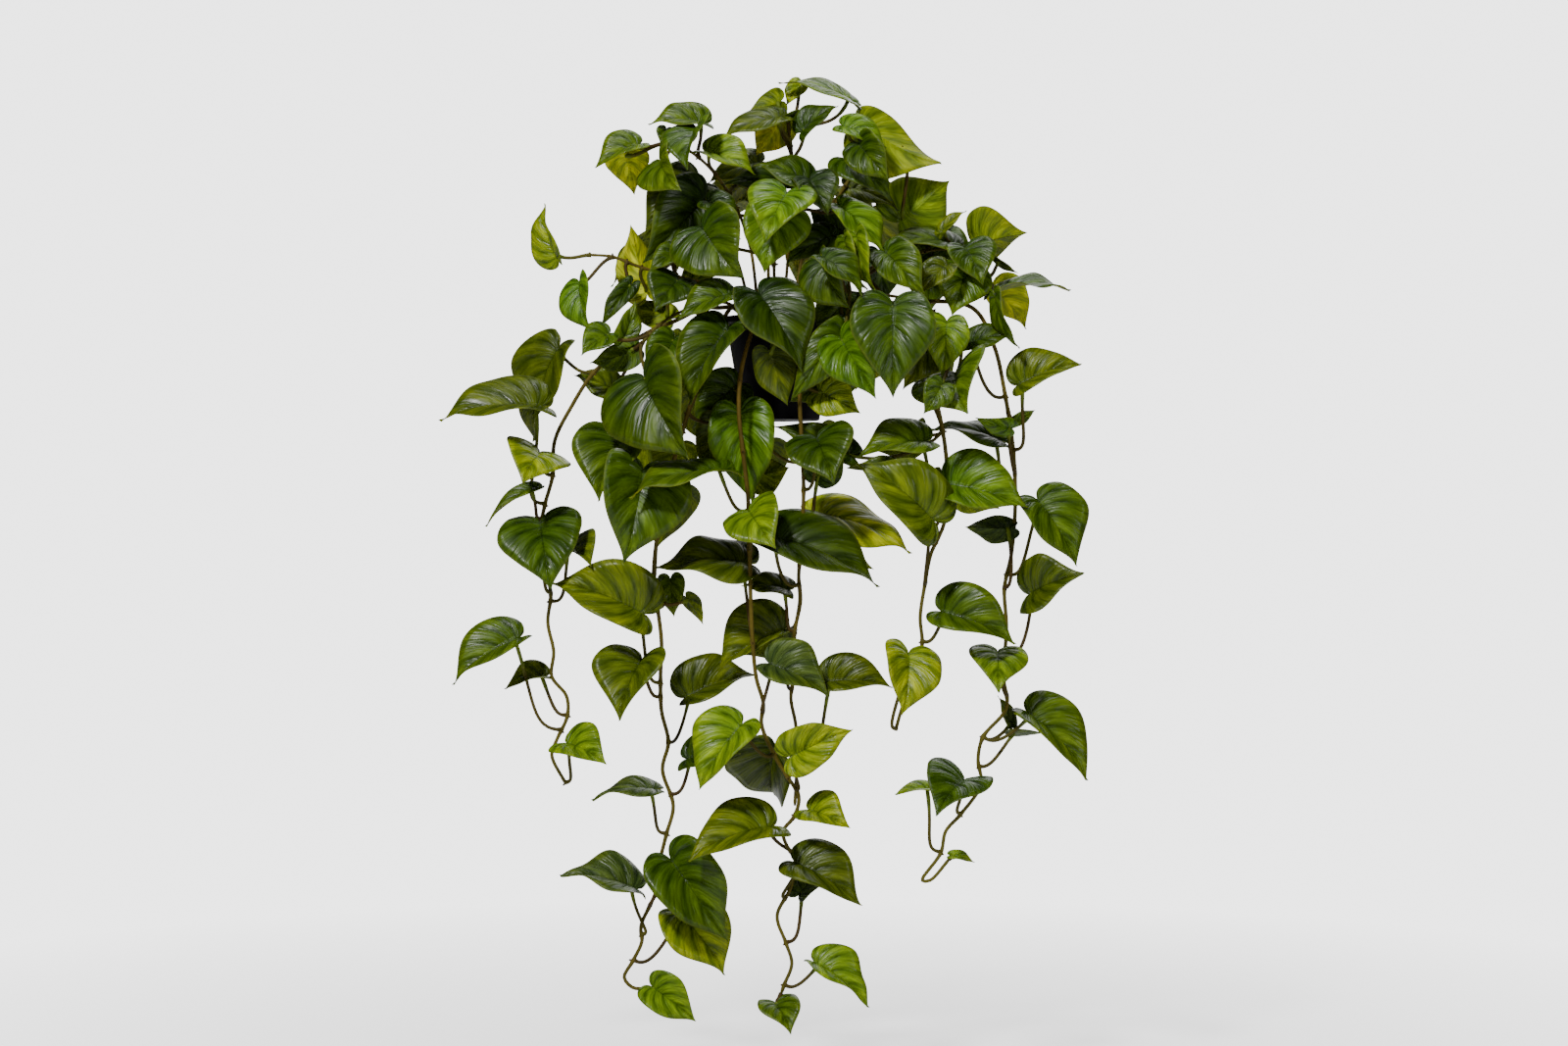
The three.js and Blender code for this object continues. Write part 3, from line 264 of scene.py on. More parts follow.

# Each stem's name, the hole that it stands in, whether it trails over the lip, the places of its route and
# its leaves. A place is across, down and depth, as seen on the upright plane through the pot's axis. What is
# nearer to the eye has a negative depth. A leaf's row has the place where the stalk meets the blade, the
# place of the tip, then
#   turn   degrees about the midrib that bring the half on its left hand (looking to the tip) to the eye
#   fold   degrees by which both halves rise from the midrib to the eye
#   width  of the blade over its length
#   face   1 where the upper side is seen and -1 where the underside is
#   foot   point of the stem's route that the stalk grows from, counted from 0, which is the place
#          over the lip on a stem that trails
#    tone   of the side that is seen, with painted light and shade in it
READ_STEMS = (
    ("stem_left", (-37, -8), True, """
    718 314 -20, 690 327 -26, 665 337 -30, 640 352 -33, 606 380 -36, 583 415 -38, 566 450 -38,
    564 485 -38, 556 515 -38, 551 545 -34, 556 580 -32, 562 605 -32, 559 635 -32, 565 665 -32,
    563 690 -32, 578 710 -32, 579 730 -32, 568 755 -32, 563 770 -32, 577 799 -32
    """, """
    570 355 -8 541 450 12 50 16 0.86 1 5 olive_dark
    551 415 -50 447 427 -60 59 18 0.86 1 9 olive_dark
    551 461 -50 532 491 -104 0 10 1.1 1 8 yellow
    546 499 -48 494 536 -60 60 25 0.4 1 9.5 mid
    551 532 -46 562 601 -84 0 12 1.1 1 12 deep
    578 560 -30 605 575 -80 -50 30 1 1 12.3 olive
    529 651 -36 460 697 -50 50 27 0.86 1 17.6 mid
    557 690 -22 514 702 -30 52 32 0.86 1 17 olive_dark
    578 758 -44 619 779 -78 -40 22 0.95 1 20 bright
    """),
    ("stem_left_middle", (-28, -26), True, """
    735 332 -58, 716 380 -64, 696 440 -64, 680 500 -62, 671 545 -60, 667 590 -58, 671 620 -58,
    675 655 -56, 674 690 -56, 675 725 -58, 682 757 -58, 676 785 -58, 687 822 -58, 680 851 -58,
    673 880 -56, 669 910 -56, 654 945 -58, 655 960 -58, 646 980 -58, 637 997 -58, 645 1007 -58,
    657 1009 -60
    """, """
    632 446 -60 608 511 -96 22 26 1.05 1 3 deep
    656 479 -92 637 574 -124 -18 22 1.05 1 5 deep
    657 626 -68 563 591 -64 29 29 0.86 1 9.2 olive
    684 590 -36 687 630 -42 0 30 0.86 1 7 mid
    655 672 -68 631 735 -108 29 29 1.13 1 9.6 olive
    668 805 -60 603 814 -64 77 5 0.86 1 14 grey
    701 774 -62 756 768 -78 -45 20 0.86 1 12.7 dark
    700 711 -20 772 686 0 -43 33 0.9 1 11 olive_dark
    648 906 -60 571 892 -70 64 19 0.86 1 17.6 grey
    684 876 -70 742 962 -80 -10 35 0.86 1 16.4 deep
    692 930 -54 742 994 -62 -25 28 1 1 19 yellow
    665 1006 -64 711 1042 -72 -13 30 0.86 1 22 bright
    694 452 -40 670 492 -52 10 -10 1 -1 3 yellow
    738 430 -53 714 480 -56 10 -10 0.9 -1 2.7 olive_dark
    700 609 -50 718 637 -44 20 -25 0.6 -1 6.8 olive
    """),
    ("stem_centre", (-11, -36), True, """
    768 335 -84, 756 380 -96, 754 420 -100, 758 460 -100, 763 505 -94, 765 560 -86, 766 610 -84,
    768 655 -82, 772 693 -78, 779 718 -78, 777 738 -78, 790 770 -78, 804 793 -76, 815 812 -76,
    811 832 -76, 799 848 -76, 803 863 -76, 811 876 -72, 807 905 -72, 793 934 -72, 802 962 -72,
    808 983 -72, 800 1005 -72, 797 1014 -70
    """, """
    755 420 -64 765 514 -70 0 25 0.8 1 4 fresh
    738 480 -106 640 505 -130 70 8 0.8 1 5.3 deep
    764 521 -114 790 560 -160 0 14 1 1 6 bright
    762 574 -62 668 578 -66 54 5 0.8 1 8 olive_dark
    785 677 -94 848 708 -102 -36 31 0.95 1 10.4 grey
    757 739 -90 713 806 -104 38 26 0.95 1 12 bright
    791 760 -50 788 812 12 28 40 1.1 1 13 olive_dark
    786 843 -84 700 876 -112 53 20 0.86 1 17.5 olive
    806 772 -92 870 742 -100 -8 28 0.8 1 13.7 yellow
    825 826 -80 867 845 -108 -39 25 0.95 1 15 yellow
    812 880 -82 880 924 -94 -45 24 0.9 1 19.4 olive_dark
    816 912 -62 850 885 -40 -60 10 0.86 1 21 grey
    832 982 -76 888 1027 -84 -54 30 0.86 1 23 bright
    791 1023 -76 808 1055 -112 -28 18 0.95 1 24 mid
    752 392 -38 706 436 -38 10 15 0.85 1 2.2 deep
    768 486 -44 806 477 -50 -20 -10 1.1 -1 6 yellow
    """),
    ("stem_centre_right", (12, -36), True, """
    820 345 -82, 816 400 -88, 818 450 -90, 820 500 -90, 818 550 -88, 815 590 -84, 817 612 -82,
    811 645 -80, 810 690 -76, 807 712 -72, 812 740 -66, 813 780 -62, 811 822 -62
    """, """
    833 446 -106 852 493 -150 0 15 1.1 1 4 dark
    834 488 -82 850 440 -74 20 22 0.86 1 5 dark
    830 523 -60 932 562 -68 -57 -2 0.8 1 5.6 gold
    787 548 -108 899 597 -120 -53 16 0.8 1 6.3 darkest
    804 601 -74 756 597 -70 60 8 0.95 1 8 olive_dark
    800 643 -30 730 683 -36 45 38 1.05 1 9.6 olive
    843 695 -72 912 700 -76 -45 30 0.86 1 12 olive_dark
    836 399 -78 878 422 -92 -10 12 0.95 1 1.8 yellow
    860 378 -62 806 412 -62 10 12 0.8 1 1.4 mid
    """),
    ("stem_right_middle", (31, -22), True, """
    880 326 -62, 925 365 -66, 952 402 -66, 962 440 -62, 967 500 -60, 963 535 -60, 950 565 -60,
    944 595 -60, 939 630 -60, 941 655 -58, 936 690 -54, 922 718 -54, 914 744 -54
    """, """
    953 531 -104 874 469 -106 28 18 0.82 1 8 olive
    945 450 -72 874 464 -86 50 18 0.86 1 5.2 mid
    968 494 -70 1050 519 -86 -34 26 0.95 1 6.6 fresh
    927 666 -74 922 730 -106 -20 22 1 1 13 yellow
    961 624 -66 1038 655 -80 -35 32 0.9 1 10 mid
    868 464 -50 788 432 -54 25 10 0.42 1 4 dark
    920 481 -50 864 477 -62 30 10 0.45 1 5 grey
    """),
    ("stem_right", (38, -5), True, """
    930 308 -20, 992 314 -30, 1014 352 -36, 1026 405 -38, 1034 460 -40, 1036 515 -40, 1032 565 -40,
    1025 600 -38, 1027 640 -36, 1024 690 -36, 1027 722 -40, 1003 752 -40, 998 775 -40, 1001 800 -40,
    980 831 -40, 965 848 -40, 960 870 -40, 941 898 -40, 949 898 -38, 969 876 -36
    """, """
    988 350 -52 1035 342 -58 -40 15 0.75 1 4 dark
    1040 392 -46 1104 370 -50 -42 28 0.9 1 5 olive
    1032 437 -60 995 427 -82 -20 10 0.5 1 5.4 fresh
    1020 449 -46 950 436 -40 66 5 0.8 1 5.8 dark
    1060 510 -54 1101 578 -66 -30 22 0.98 1 7.6 mid
    1032 538 -46 984 537 -62 20 -20 0.6 -1 8 grey
    1050 606 -52 1106 585 -92 -33 25 1 1 9.6 olive_dark
    1018 664 -56 1018 706 -104 0 10 0.95 1 10.6 bright
    1049 727 -52 1112 795 -64 -47 25 0.86 1 12 mid
    1032 747 -26 1078 742 -22 80 0 0.8 1 13.3 grey
    1033 741 -28 1018 709 -26 40 10 0.5 1 12 grey
    984 795 -52 954 831 -102 33 25 1.13 1 15 deep
    950 805 -44 913 810 -50 69 14 0.8 1 17 bright
    970 873 -38 995 880 -36 -50 25 0.6 1 20 bright
    1034 431 -32 1057 418 -28 0 10 0.5 1 4.3 fresh
    """),
    ("crown_top_left", (-22, 4), False, """
    772 300 -4, 765 250 -10, 748 205 -16, 725 172 -20, 700 152 -22, 680 146 -22
    """, """
    719 125 -20 661 126 -26 50 21 0.86 1 3.5 mid
    680 131 -22 674 147 -26 10 20 1 1 5 deep
    652 147 -30 607 171 -42 45 23 0.9 1 5 mid
    638 156 -22 648 198 14 0 -10 0.85 -1 5 gold
    673 163 -40 693 196 -84 33 23 0.95 1 4.5 mid
    711 131 -44 699 173 -88 40 30 0.95 1 4 deep
    720 155 -40 771 178 -60 -40 30 0.86 1 2.8 bright
    722 205 -36 755 228 -42 -30 20 0.9 1 1.8 dark
    775 165 4 722 186 -2 40 12 0.7 1 2.2 olive_dark
    """),
    ("crown_top", (2, 10), False, """
    801 300 6, 805 250 6, 808 200 4, 808 160 0, 806 138 -2
    """, """
    797 119 -24 735 142 -36 52 8 0.7 1 3.5 olive_dark
    797 122 -12 770 158 -4 0 -12 1 -1 3 gold
    797 103 -6 763 114 6 0 -10 0.85 -1 4 yellow
    869 103 -10 794 82 -14 71 5 0.8 1 4 mid
    818 134 -32 855 107 -36 -43 17 0.86 1 2.8 dark
    803 120 -20 825 110 -20 40 10 0.5 1 4 dark
    817 84 6 802 107 2 20 10 0.8 1 4 yellow
    808 183 -16 735 187 -22 20 10 0.4 1 2.4 dark
    """),
    ("crown_top_right", (18, 12), False, """
    822 298 10, 840 240 8, 862 190 4, 888 160 0, 920 152 -4, 945 165 -6
    """, """
    860 128 -50 905 150 -56 -40 15 0.8 1 3 fresh
    876 146 -62 908 184 -80 15 20 0.86 1 3 dark
    881 128 -20 961 168 -16 -30 -22 0.92 -1 3.2 yellow
    918 226 2 968 183 4 -4 -12 1.25 -1 4 bright
    862 162 -34 912 203 -50 -25 15 0.8 1 2.6 deep
    864 190 16 918 214 6 -35 12 0.55 1 2 olive_dark
    """),
    ("crown_right", (34, 10), False, """
    846 300 10, 890 272 6, 935 258 0, 975 255 -6, 1000 270 -10, 1012 292 -12
    """, """
    960 238 -20 986 214 -22 -50 15 0.6 1 3 olive
    997 251 -2 1048 238 24 30 -28 1.2 -1 4 yellow
    985 252 -26 1002 292 -60 -15 20 1 1 3.4 dark
    985 275 -34 972 322 -54 0 12 1.1 1 4 fresh
    966 270 -58 940 300 -70 30 15 0.86 1 2.8 olive_dark
    975 250 -16 905 245 -26 60 5 0.86 1 3 dark
    1015 298 -26 1093 294 -32 -77 9 0.86 1 5 deep
    1014 294 12 1049 335 26 34 -25 0.95 -1 5 gold
    1015 302 -66 1039 357 -72 70 5 0.6 1 5 mid
    952 240 28 946 322 16 0 12 0.95 1 2.2 dark
    1016 265 -8 1039 279 -6 30 5 0.3 1 4.6 olive_dark
    """),
    ("crown_centre", (-6, -18), False, """
    791 300 -28, 790 270 -42, 795 240 -52, 806 215 -56
    """, """
    826 186 -44 768 168 -50 50 10 0.86 1 3 dark
    826 183 -52 845 220 -70 -20 25 1.1 1 3 darkest
    803 196 -72 780 247 -112 17 17 1 1 2.6 fresh
    795 215 -64 778 278 -86 0 8 1 1 2 fresh
    857 210 -44 904 262 -56 -45 10 0.75 1 3 fresh
    716 232 -60 757 286 -88 15 18 1.15 1 1 dark
    850 240 -40 800 268 -52 30 10 0.7 1 2 dark
    864 238 -18 824 214 -14 0 12 0.85 1 2.4 deep
    """),
    ("crown_left", (-34, 10), False, """
    752 305 6, 720 290 0, 690 282 -8, 655 273 -14, 625 262 -18, 602 260 -20
    """, """
    569 264 -28 555 207 -24 -54 26 0.86 1 5 yellow
    591 288 -30 602 340 -50 43 22 0.86 1 4 fresh
    660 300 0 645 229 6 20 -15 0.7 -1 3 gold
    720 203 -4 657 270 -30 0 28 0.86 1 2 dark
    692 256 -42 662 277 -52 30 20 0.8 1 2.4 dark
    692 285 -44 668 318 -70 15 15 1.1 1 2 dark
    644 290 -22 612 334 -30 10 18 0.42 1 3.5 dark
    712 188 16 655 246 2 0 10 0.9 1 2 olive_dark
    684 325 6 643 303 10 30 -10 0.8 -1 2.2 yellow
    726 270 6 690 290 8 20 10 0.7 1 1.2 yellow
    """),
    ("crown_left_low", (-40, -16), False, """
    748 312 -24, 722 308 -40, 695 318 -50, 672 332 -54, 655 350 -56
    """, """
    622 340 -60 592 362 -74 30 20 1 1 3.6 mid
    636 348 -42 649 306 -38 20 10 0.6 1 3.4 mid
    648 356 -52 602 372 -58 20 -10 0.75 -1 4 mid
    657 384 -92 704 468 -134 30 20 1.1 1 4 dark
    742 336 -86 700 412 -106 33 30 0.86 1 1.5 dark
    688 345 -62 665 398 -68 10 20 0.8 1 3 deep
    745 300 -72 690 325 -88 45 15 0.8 1 1 deep
    628 398 -6 586 381 -12 20 15 0.8 1 4 olive
    """),
    ("crown_front", (10, -26), False, """
    810 306 -46, 818 288 -62, 836 276 -72, 860 272 -76, 885 284 -78
    """, """
    774 299 -84 820 379 -112 -27 17 0.86 1 0.6 darkest
    837 266 -90 867 317 -106 40 25 1 1 2 dark
    840 262 -122 882 300 -134 -45 15 0.8 1 2.3 dark
    862 245 -92 884 297 -100 60 10 0.6 1 3 mid
    874 240 -96 893 297 -106 55 10 0.7 1 3.2 bright
    903 257 -80 943 302 -104 -12 20 0.8 1 3.8 deep
    911 310 -120 910 406 -140 0 15 0.88 1 4 deep
    858 345 -106 896 406 -126 11 28 0.86 1 3 fresh
    861 338 -94 806 410 -100 12 12 0.5 1 2.4 deep
    785 358 -96 803 415 -100 0 -15 0.75 -1 1 olive_dark
    868 300 -56 832 346 -66 10 12 0.85 1 2.5 dark
    898 258 -40 902 312 -40 0 12 0.8 1 3.5 dark
    """),
    ("crown_front_right", (30, -12), False, """
    846 300 -30, 885 300 -50, 925 305 -60, 958 322 -64, 980 345 -64
    """, """
    966 328 -84 962 386 -96 0 15 0.8 1 3.2 bright
    975 380 -78 984 423 -132 30 20 1.3 1 4 mid
    962 392 -122 943 423 -128 0 15 0.9 1 3.6 mid
    950 345 -70 922 398 -88 0 15 0.8 1 2.8 olive_dark
    """),
    ("stem_back_left", (-20, 32), True, """
    735 340 70, 715 390 78, 696 440 80, 681 500 78, 671 545 74, 668 590 72
    """, """
    700 352 92 672 412 118 20 -20 0.9 -1 1.5 yellow
    718 400 100 735 462 124 -20 -20 0.9 -1 2.2 olive
    664 440 104 640 500 130 15 -20 0.9 -1 3.5 yellow
    690 500 100 668 560 122 -10 -20 0.9 -1 4.4 olive
    648 612 94 592 616 112 -30 -20 0.8 -1 6 olive
    """),
    ("stem_back_centre", (2, 36), True, """
    806 345 84, 816 400 92, 818 450 94, 820 500 94, 818 550 92, 815 590 90, 816 612 90, 811 645 90,
    810 682 88
    """, """
    828 352 106 852 408 134 -15 -20 0.9 -1 1.6 olive
    790 380 112 775 440 138 15 -20 0.9 -1 2.2 yellow
    835 440 112 850 488 134 0 -20 0.9 -1 3.3 olive
    784 450 108 764 502 130 8 -20 0.85 -1 3.4 olive
    840 548 112 892 580 130 -20 -20 0.8 -1 5 yellow
    800 640 108 752 668 124 20 -20 0.8 -1 7.8 olive
    """),
    ("stem_back_right", (29, 24), True, """
    885 335 62, 925 372 72, 948 405 76, 962 440 76, 967 500 74, 963 535 74, 950 565 72
    """, """
    895 345 86 872 398 112 15 -20 0.9 -1 1.6 yellow
    950 362 96 966 412 120 -10 -20 0.9 -1 2.5 olive
    940 440 98 892 462 112 30 -20 0.8 -1 4 olive
    955 490 98 905 505 112 30 -20 0.8 -1 5 olive
    978 498 98 1020 518 112 -20 -20 0.8 -1 5.2 yellow
    """),
)

# The stems of the crown's far side grow by a rule from their names, their holes, the azimuth that each leans
# in, the reach of its end from the pot's axis, the rise of its highest place above the lip, and the seed of
# the draws that vary it.
FAR_STEMS = (
    ("crown_back_left", (-30, 19), 154, 107, 84, 3),
    ("crown_back_left_middle", (-12, 22), 113, 92, 140, 3),
    ("crown_back_right_middle", (12, 24), 74, 128, 84, 31),
    ("crown_back_right", (26, 12), 36, 104, 128, 3),
)
FAR_LEAVES = 4
FAR_ARC = 2.2
FAR_SPREAD = 1.4
FAR_SWAY = (-3, 3)
FAR_STALK_ASIDE = (11, 16)
FAR_STALK_OUT = (12, 20)
FAR_STALK_UP = (8, 18)
FAR_LEAF_OUT = 0.65
FAR_LEAF_ASIDE = (0.25, 0.45)
FAR_LEAF_DOWN = (0.5, 0.8)
FAR_FACE_OUT = 0.6
FAR_FACE_UP = 0.8
FAR_LENGTH = (54, 76)
FAR_WIDTH = 0.88
FAR_FOLD = 20
FAR_TONES = ("mid", "deep", "fresh", "olive")
DRAW_FACTOR = 16807
DRAW_LIMIT = 2147483647


def unit(vector):
    return vector / np.linalg.norm(vector)


def mixed(a, b, share):
    return np.asarray(a) * (1 - share) + np.asarray(b) * share


def place(across, down, depth):
    """Turns a place read on the upright plane into one in space."""
    spread = (VIEW_DISTANCE + depth) / VIEW_DISTANCE
    x = VIEW_ACROSS - PLANE_AXIS + (across - VIEW_ACROSS) * spread
    z = PLANE_LIP - VIEW_DOWN + (VIEW_DOWN - down) * spread
    return np.array([x, depth, z], float)


def draws_from(seed):
    """Draws numbers from 0 to 1 that are the same every time, as the part's source does."""
    state = seed
    while True:
        state = state * DRAW_FACTOR % DRAW_LIMIT
        yield state / DRAW_LIMIT


def between(draws, span):
    return span[0] + (span[1] - span[0]) * next(draws)


def bezier(points, at):
    """The points of a cubic curve at the parameters in the array at."""
    at = np.asarray(at, float)[..., None]
    a, b, c, d = (np.asarray(p, float) for p in points)
    back = 1 - at
    return a * back**3 + 3 * b * back**2 * at + 3 * c * back * at**2 + d * at**3


class Spline:
    """A centripetal Catmull-Rom curve through points, whose parameter counts them from 0."""

    def __init__(self, points):
        inner = [np.asarray(p, float) for p in points]
        self.last = len(inner) - 1
        self.points = [2 * inner[0] - inner[1], *inner, 2 * inner[-1] - inner[-2]]

    def point(self, at):
        span = min(int(at), self.last - 1)
        part = at - span
        a, b, c, d = self.points[span : span + 4]
        gaps = [math.sqrt(np.linalg.norm(q - p)) for p, q in ((a, b), (b, c), (c, d))]
        leave = (b - a) / gaps[0] - (c - a) / (gaps[0] + gaps[1]) + (c - b) / gaps[1]
        reach = (c - b) / gaps[1] - (d - b) / (gaps[1] + gaps[2]) + (d - c) / gaps[2]
        leave, reach = leave * gaps[1], reach * gaps[1]
        square = -3 * b + 3 * c - 2 * leave - reach
        cube = 2 * b - 2 * c + leave + reach
        return b + leave * part + square * part**2 + cube * part**3

    def heading(self, at):
        low, high = max(0, at - 0.02), min(self.last, at + 0.02)
        return unit(self.point(high) - self.point(low))

    def line(self, step):
        """Parameters and points about step apart."""
        at = [0.0]
        for span in range(self.last):
            length = np.linalg.norm(self.points[span + 2] - self.points[span + 1])
            count = max(2, round(length / step))
            at += [span + (k + 1) / count for k in range(count)]
        return np.array(at), np.array([self.point(a) for a in at])


def leaf_lie(base, tip, seen, fold, width, face):
    """How a leaf lies: its halves rise from the midrib towards the seen side by the fold."""
    length = np.linalg.norm(tip - base)
    along = unit(tip - base)
    out_left = np.cross(seen, along)
    rise = math.radians(fold)
    half_width = width * length / 2
    left = (out_left * math.cos(rise) + seen * math.sin(rise)) * half_width
    right = (-out_left * math.cos(rise) + seen * math.sin(rise)) * half_width
    return {"base": base, "along": along, "length": length, "left": left, "right": right,
            "upper": seen * face, "out": out_left, "face": face}


def read_leaf(row):
    *numbers, tone = row.split()
    numbers = [float(number) for number in numbers]
    base, tip = place(*numbers[0:3]), place(*numbers[3:6])
    turn, fold, width, face, foot = numbers[6:]
    along = unit(tip - base)
    front = unit(TO_EYE - along * TO_EYE.dot(along))
    roll = math.radians(turn)
    seen = front * math.cos(roll) - np.cross(front, along) * math.sin(roll)
    return {**leaf_lie(base, tip, seen, fold, width, face), "foot": foot, "tone": tone}


def read_stem(name, hole, trails, route, leaves):
    return {"name": name, "hole": hole, "trails": trails,
            "route": [place(*map(float, point.split())) for point in route.split(",")],
            "leaves": [read_leaf(row) for row in leaves.strip().splitlines()]}


def far_stem(name, hole, azimuth, reach, rise, seed):
    """A stem of the far side with its leaves, which stand by turns to either side and hang outwards."""
    draws = draws_from(seed)
    angle = math.radians(azimuth)
    outward = np.array([math.cos(angle), math.sin(angle), 0])
    sideways = np.cross(UP, outward)
    root = np.array([*hole, 0], float)
    route, leaves = [], []
    for step in range(1, FAR_LEAVES + 1):
        part = (step + 1) / (FAR_LEAVES + 1)
        side = 1 if step % 2 == 0 else -1
        point = mixed(root, outward * reach, part**FAR_SPREAD)
        point[2] = LIP_HEIGHT + rise * math.sin(FAR_ARC * part)
        point = point + sideways * between(draws, FAR_SWAY)
        route.append(point)
        base = point + sideways * side * between(draws, FAR_STALK_ASIDE)
        base = base + outward * between(draws, FAR_STALK_OUT)
        base = base + UP * between(draws, FAR_STALK_UP)
        along = outward * FAR_LEAF_OUT + sideways * side * between(draws, FAR_LEAF_ASIDE)
        along = unit(along - UP * between(draws, FAR_LEAF_DOWN))
        tip = base + along * between(draws, FAR_LENGTH)
        upper = outward * FAR_FACE_OUT + UP * FAR_FACE_UP
        upper = unit(upper - along * upper.dot(along))
        tone = FAR_TONES[(step + azimuth) % len(FAR_TONES)]
        leaves.append({**leaf_lie(base, tip, upper, FAR_FOLD, FAR_WIDTH, 1), "foot": step - 1,
                       "tone": tone})
    return {"name": name, "hole": hole, "trails": False, "route": route, "leaves": leaves}


def stem_spline(stem):
    """The stem's line: straight up from the soil, over the pot's lip if it trails, then along its route."""
    hole = np.array([*stem["hole"], 0], float)
    points = [hole + UP * (SOIL_LEVEL + SOIL_MOUND + height) for height in (0, ROOT_STRAIGHT)]
    first = len(points)
    if stem["trails"]:
        over = UP * (LIP_HEIGHT + LIP_RISE)
        points.append(unit(hole) * (LIP_RADIUS - LIP_INSIDE) + over)
        first = len(points)
        points.append(unit(hole) * (LIP_RADIUS + LIP_OUTSIDE) + over)
    return Spline(points + stem["route"]), first


class Growth:
    """Gathers the vertices, faces, tints and vein coordinates of one mesh."""

    def __init__(self):
        self.points, self.tints, self.grids = [], [], []
        self.faces, self.slots, self.smooth = [], [], []
        self.count = 0

    def add(self, points, faces, slot=0, tints=(0, 0, 0), grid=None, flat=0):
        """Adds a form whose last faces, as many as flat, aren't shaded smooth."""
        points = np.asarray(points, float).reshape(-1, 3)
        self.points.append(points)
        self.tints.append(np.broadcast_to(np.asarray(tints, float), (len(points), 3)))
        self.grids.append(np.zeros((len(points), 3)) if grid is None else grid)
        self.faces += [tuple(int(i) + self.count for i in face) for face in faces]
        self.slots += [slot] * len(faces) if isinstance(slot, int) else list(slot)
        self.smooth += [True] * (len(faces) - flat) + [False] * flat
        self.count += len(points)

    def to_object(self, name, materials):
        mesh = bpy.data.meshes.new(name)
        mesh.from_pydata((np.concatenate(self.points) * MM).tolist(), [], self.faces)
        for material in materials:
            mesh.materials.append(material)
        mesh.polygons.foreach_set("material_index", self.slots)
        mesh.polygons.foreach_set("use_smooth", self.smooth)
        tints = np.concatenate(self.tints)
        tint = mesh.color_attributes.new("tint", "FLOAT_COLOR", "POINT")
        tint.data.foreach_set("color", np.hstack([tints, np.ones((len(tints), 1))]).ravel())
        grid = mesh.attributes.new("veins", "FLOAT_VECTOR", "POINT")
        grid.data.foreach_set("vector", np.concatenate(self.grids).ravel())
        mesh.update()
        return linked(bpy.data.objects.new(name, mesh))


def linked(thing):
    bpy.context.scene.collection.objects.link(thing)
    return thing


def tube(line, radii, sides):
    """Points and faces of a closed round tube along a line."""
    line = np.asarray(line, float)
    radii = np.broadcast_to(np.asarray(radii, float), (len(line),))
    headings = np.gradient(line, axis=0)
    headings = headings / np.linalg.norm(headings, axis=1)[:, None]
    aside = np.cross(headings[0], ASKEW)
    rings = []
    angles = np.arange(sides) * TURN / sides
    for point, heading, radius in zip(line, headings, radii):
        aside = unit(aside - heading * aside.dot(heading))
        across = np.cross(heading, aside)
        rings.append(point + radius * (np.outer(np.cos(angles), aside) + np.outer(np.sin(angles), across)))
    faces = []
    for ring in range(len(line) - 1):
        for side in range(sides):
            a, b = ring * sides + side, ring * sides + (side + 1) % sides
            faces.append((a, b, b + sides, a + sides))
    last = (len(line) - 1) * sides
    faces.append(tuple(range(sides - 1, -1, -1)))
    faces.append(tuple(range(last, last + sides)))
    return np.concatenate(rings), faces


def heart_edge(at):
    """The edge of half a heart, from its notch at 0 to its tip at 1: along the midrib, and out from it."""
    lobe = bezier(LOBE, np.clip(at * 2, 0, 1))
    flank = bezier(FLANK, np.clip(at * 2 - 1, 0, 1))
    return np.where((at < 0.5)[..., None], lobe, flank)


def blade_faces(rows):
    """Faces of a blade's upper side, of its lower side and of the rim between them."""
    width, last = 2 * COLUMNS + 1, rows - 2
    count = (last + 1) * width + 2
    notch, tip = count - 2, count - 1
    upper = []
    for row in range(last):
        for col in range(width - 1):
            a = row * width + col
            upper.append((a, a + 1, a + 1 + width, a + width))
    upper += [(notch, col + 1, col) for col in range(width - 1)]
    upper += [(last * width + col, last * width + col + 1, tip) for col in range(width - 1)]
    lower = [tuple(i + count for i in reversed(face)) for face in upper]
    left = [notch, *[row * width for row in range(last + 1)], tip]
    right = [notch, *[row * width + width - 1 for row in range(last + 1)], tip]
    rim = [(b, a, a + count, b + count) for a, b in zip(right, right[1:])]
    rim += [(a, b, b + count, a + count) for a, b in zip(left, left[1:])]
    return upper, lower, rim


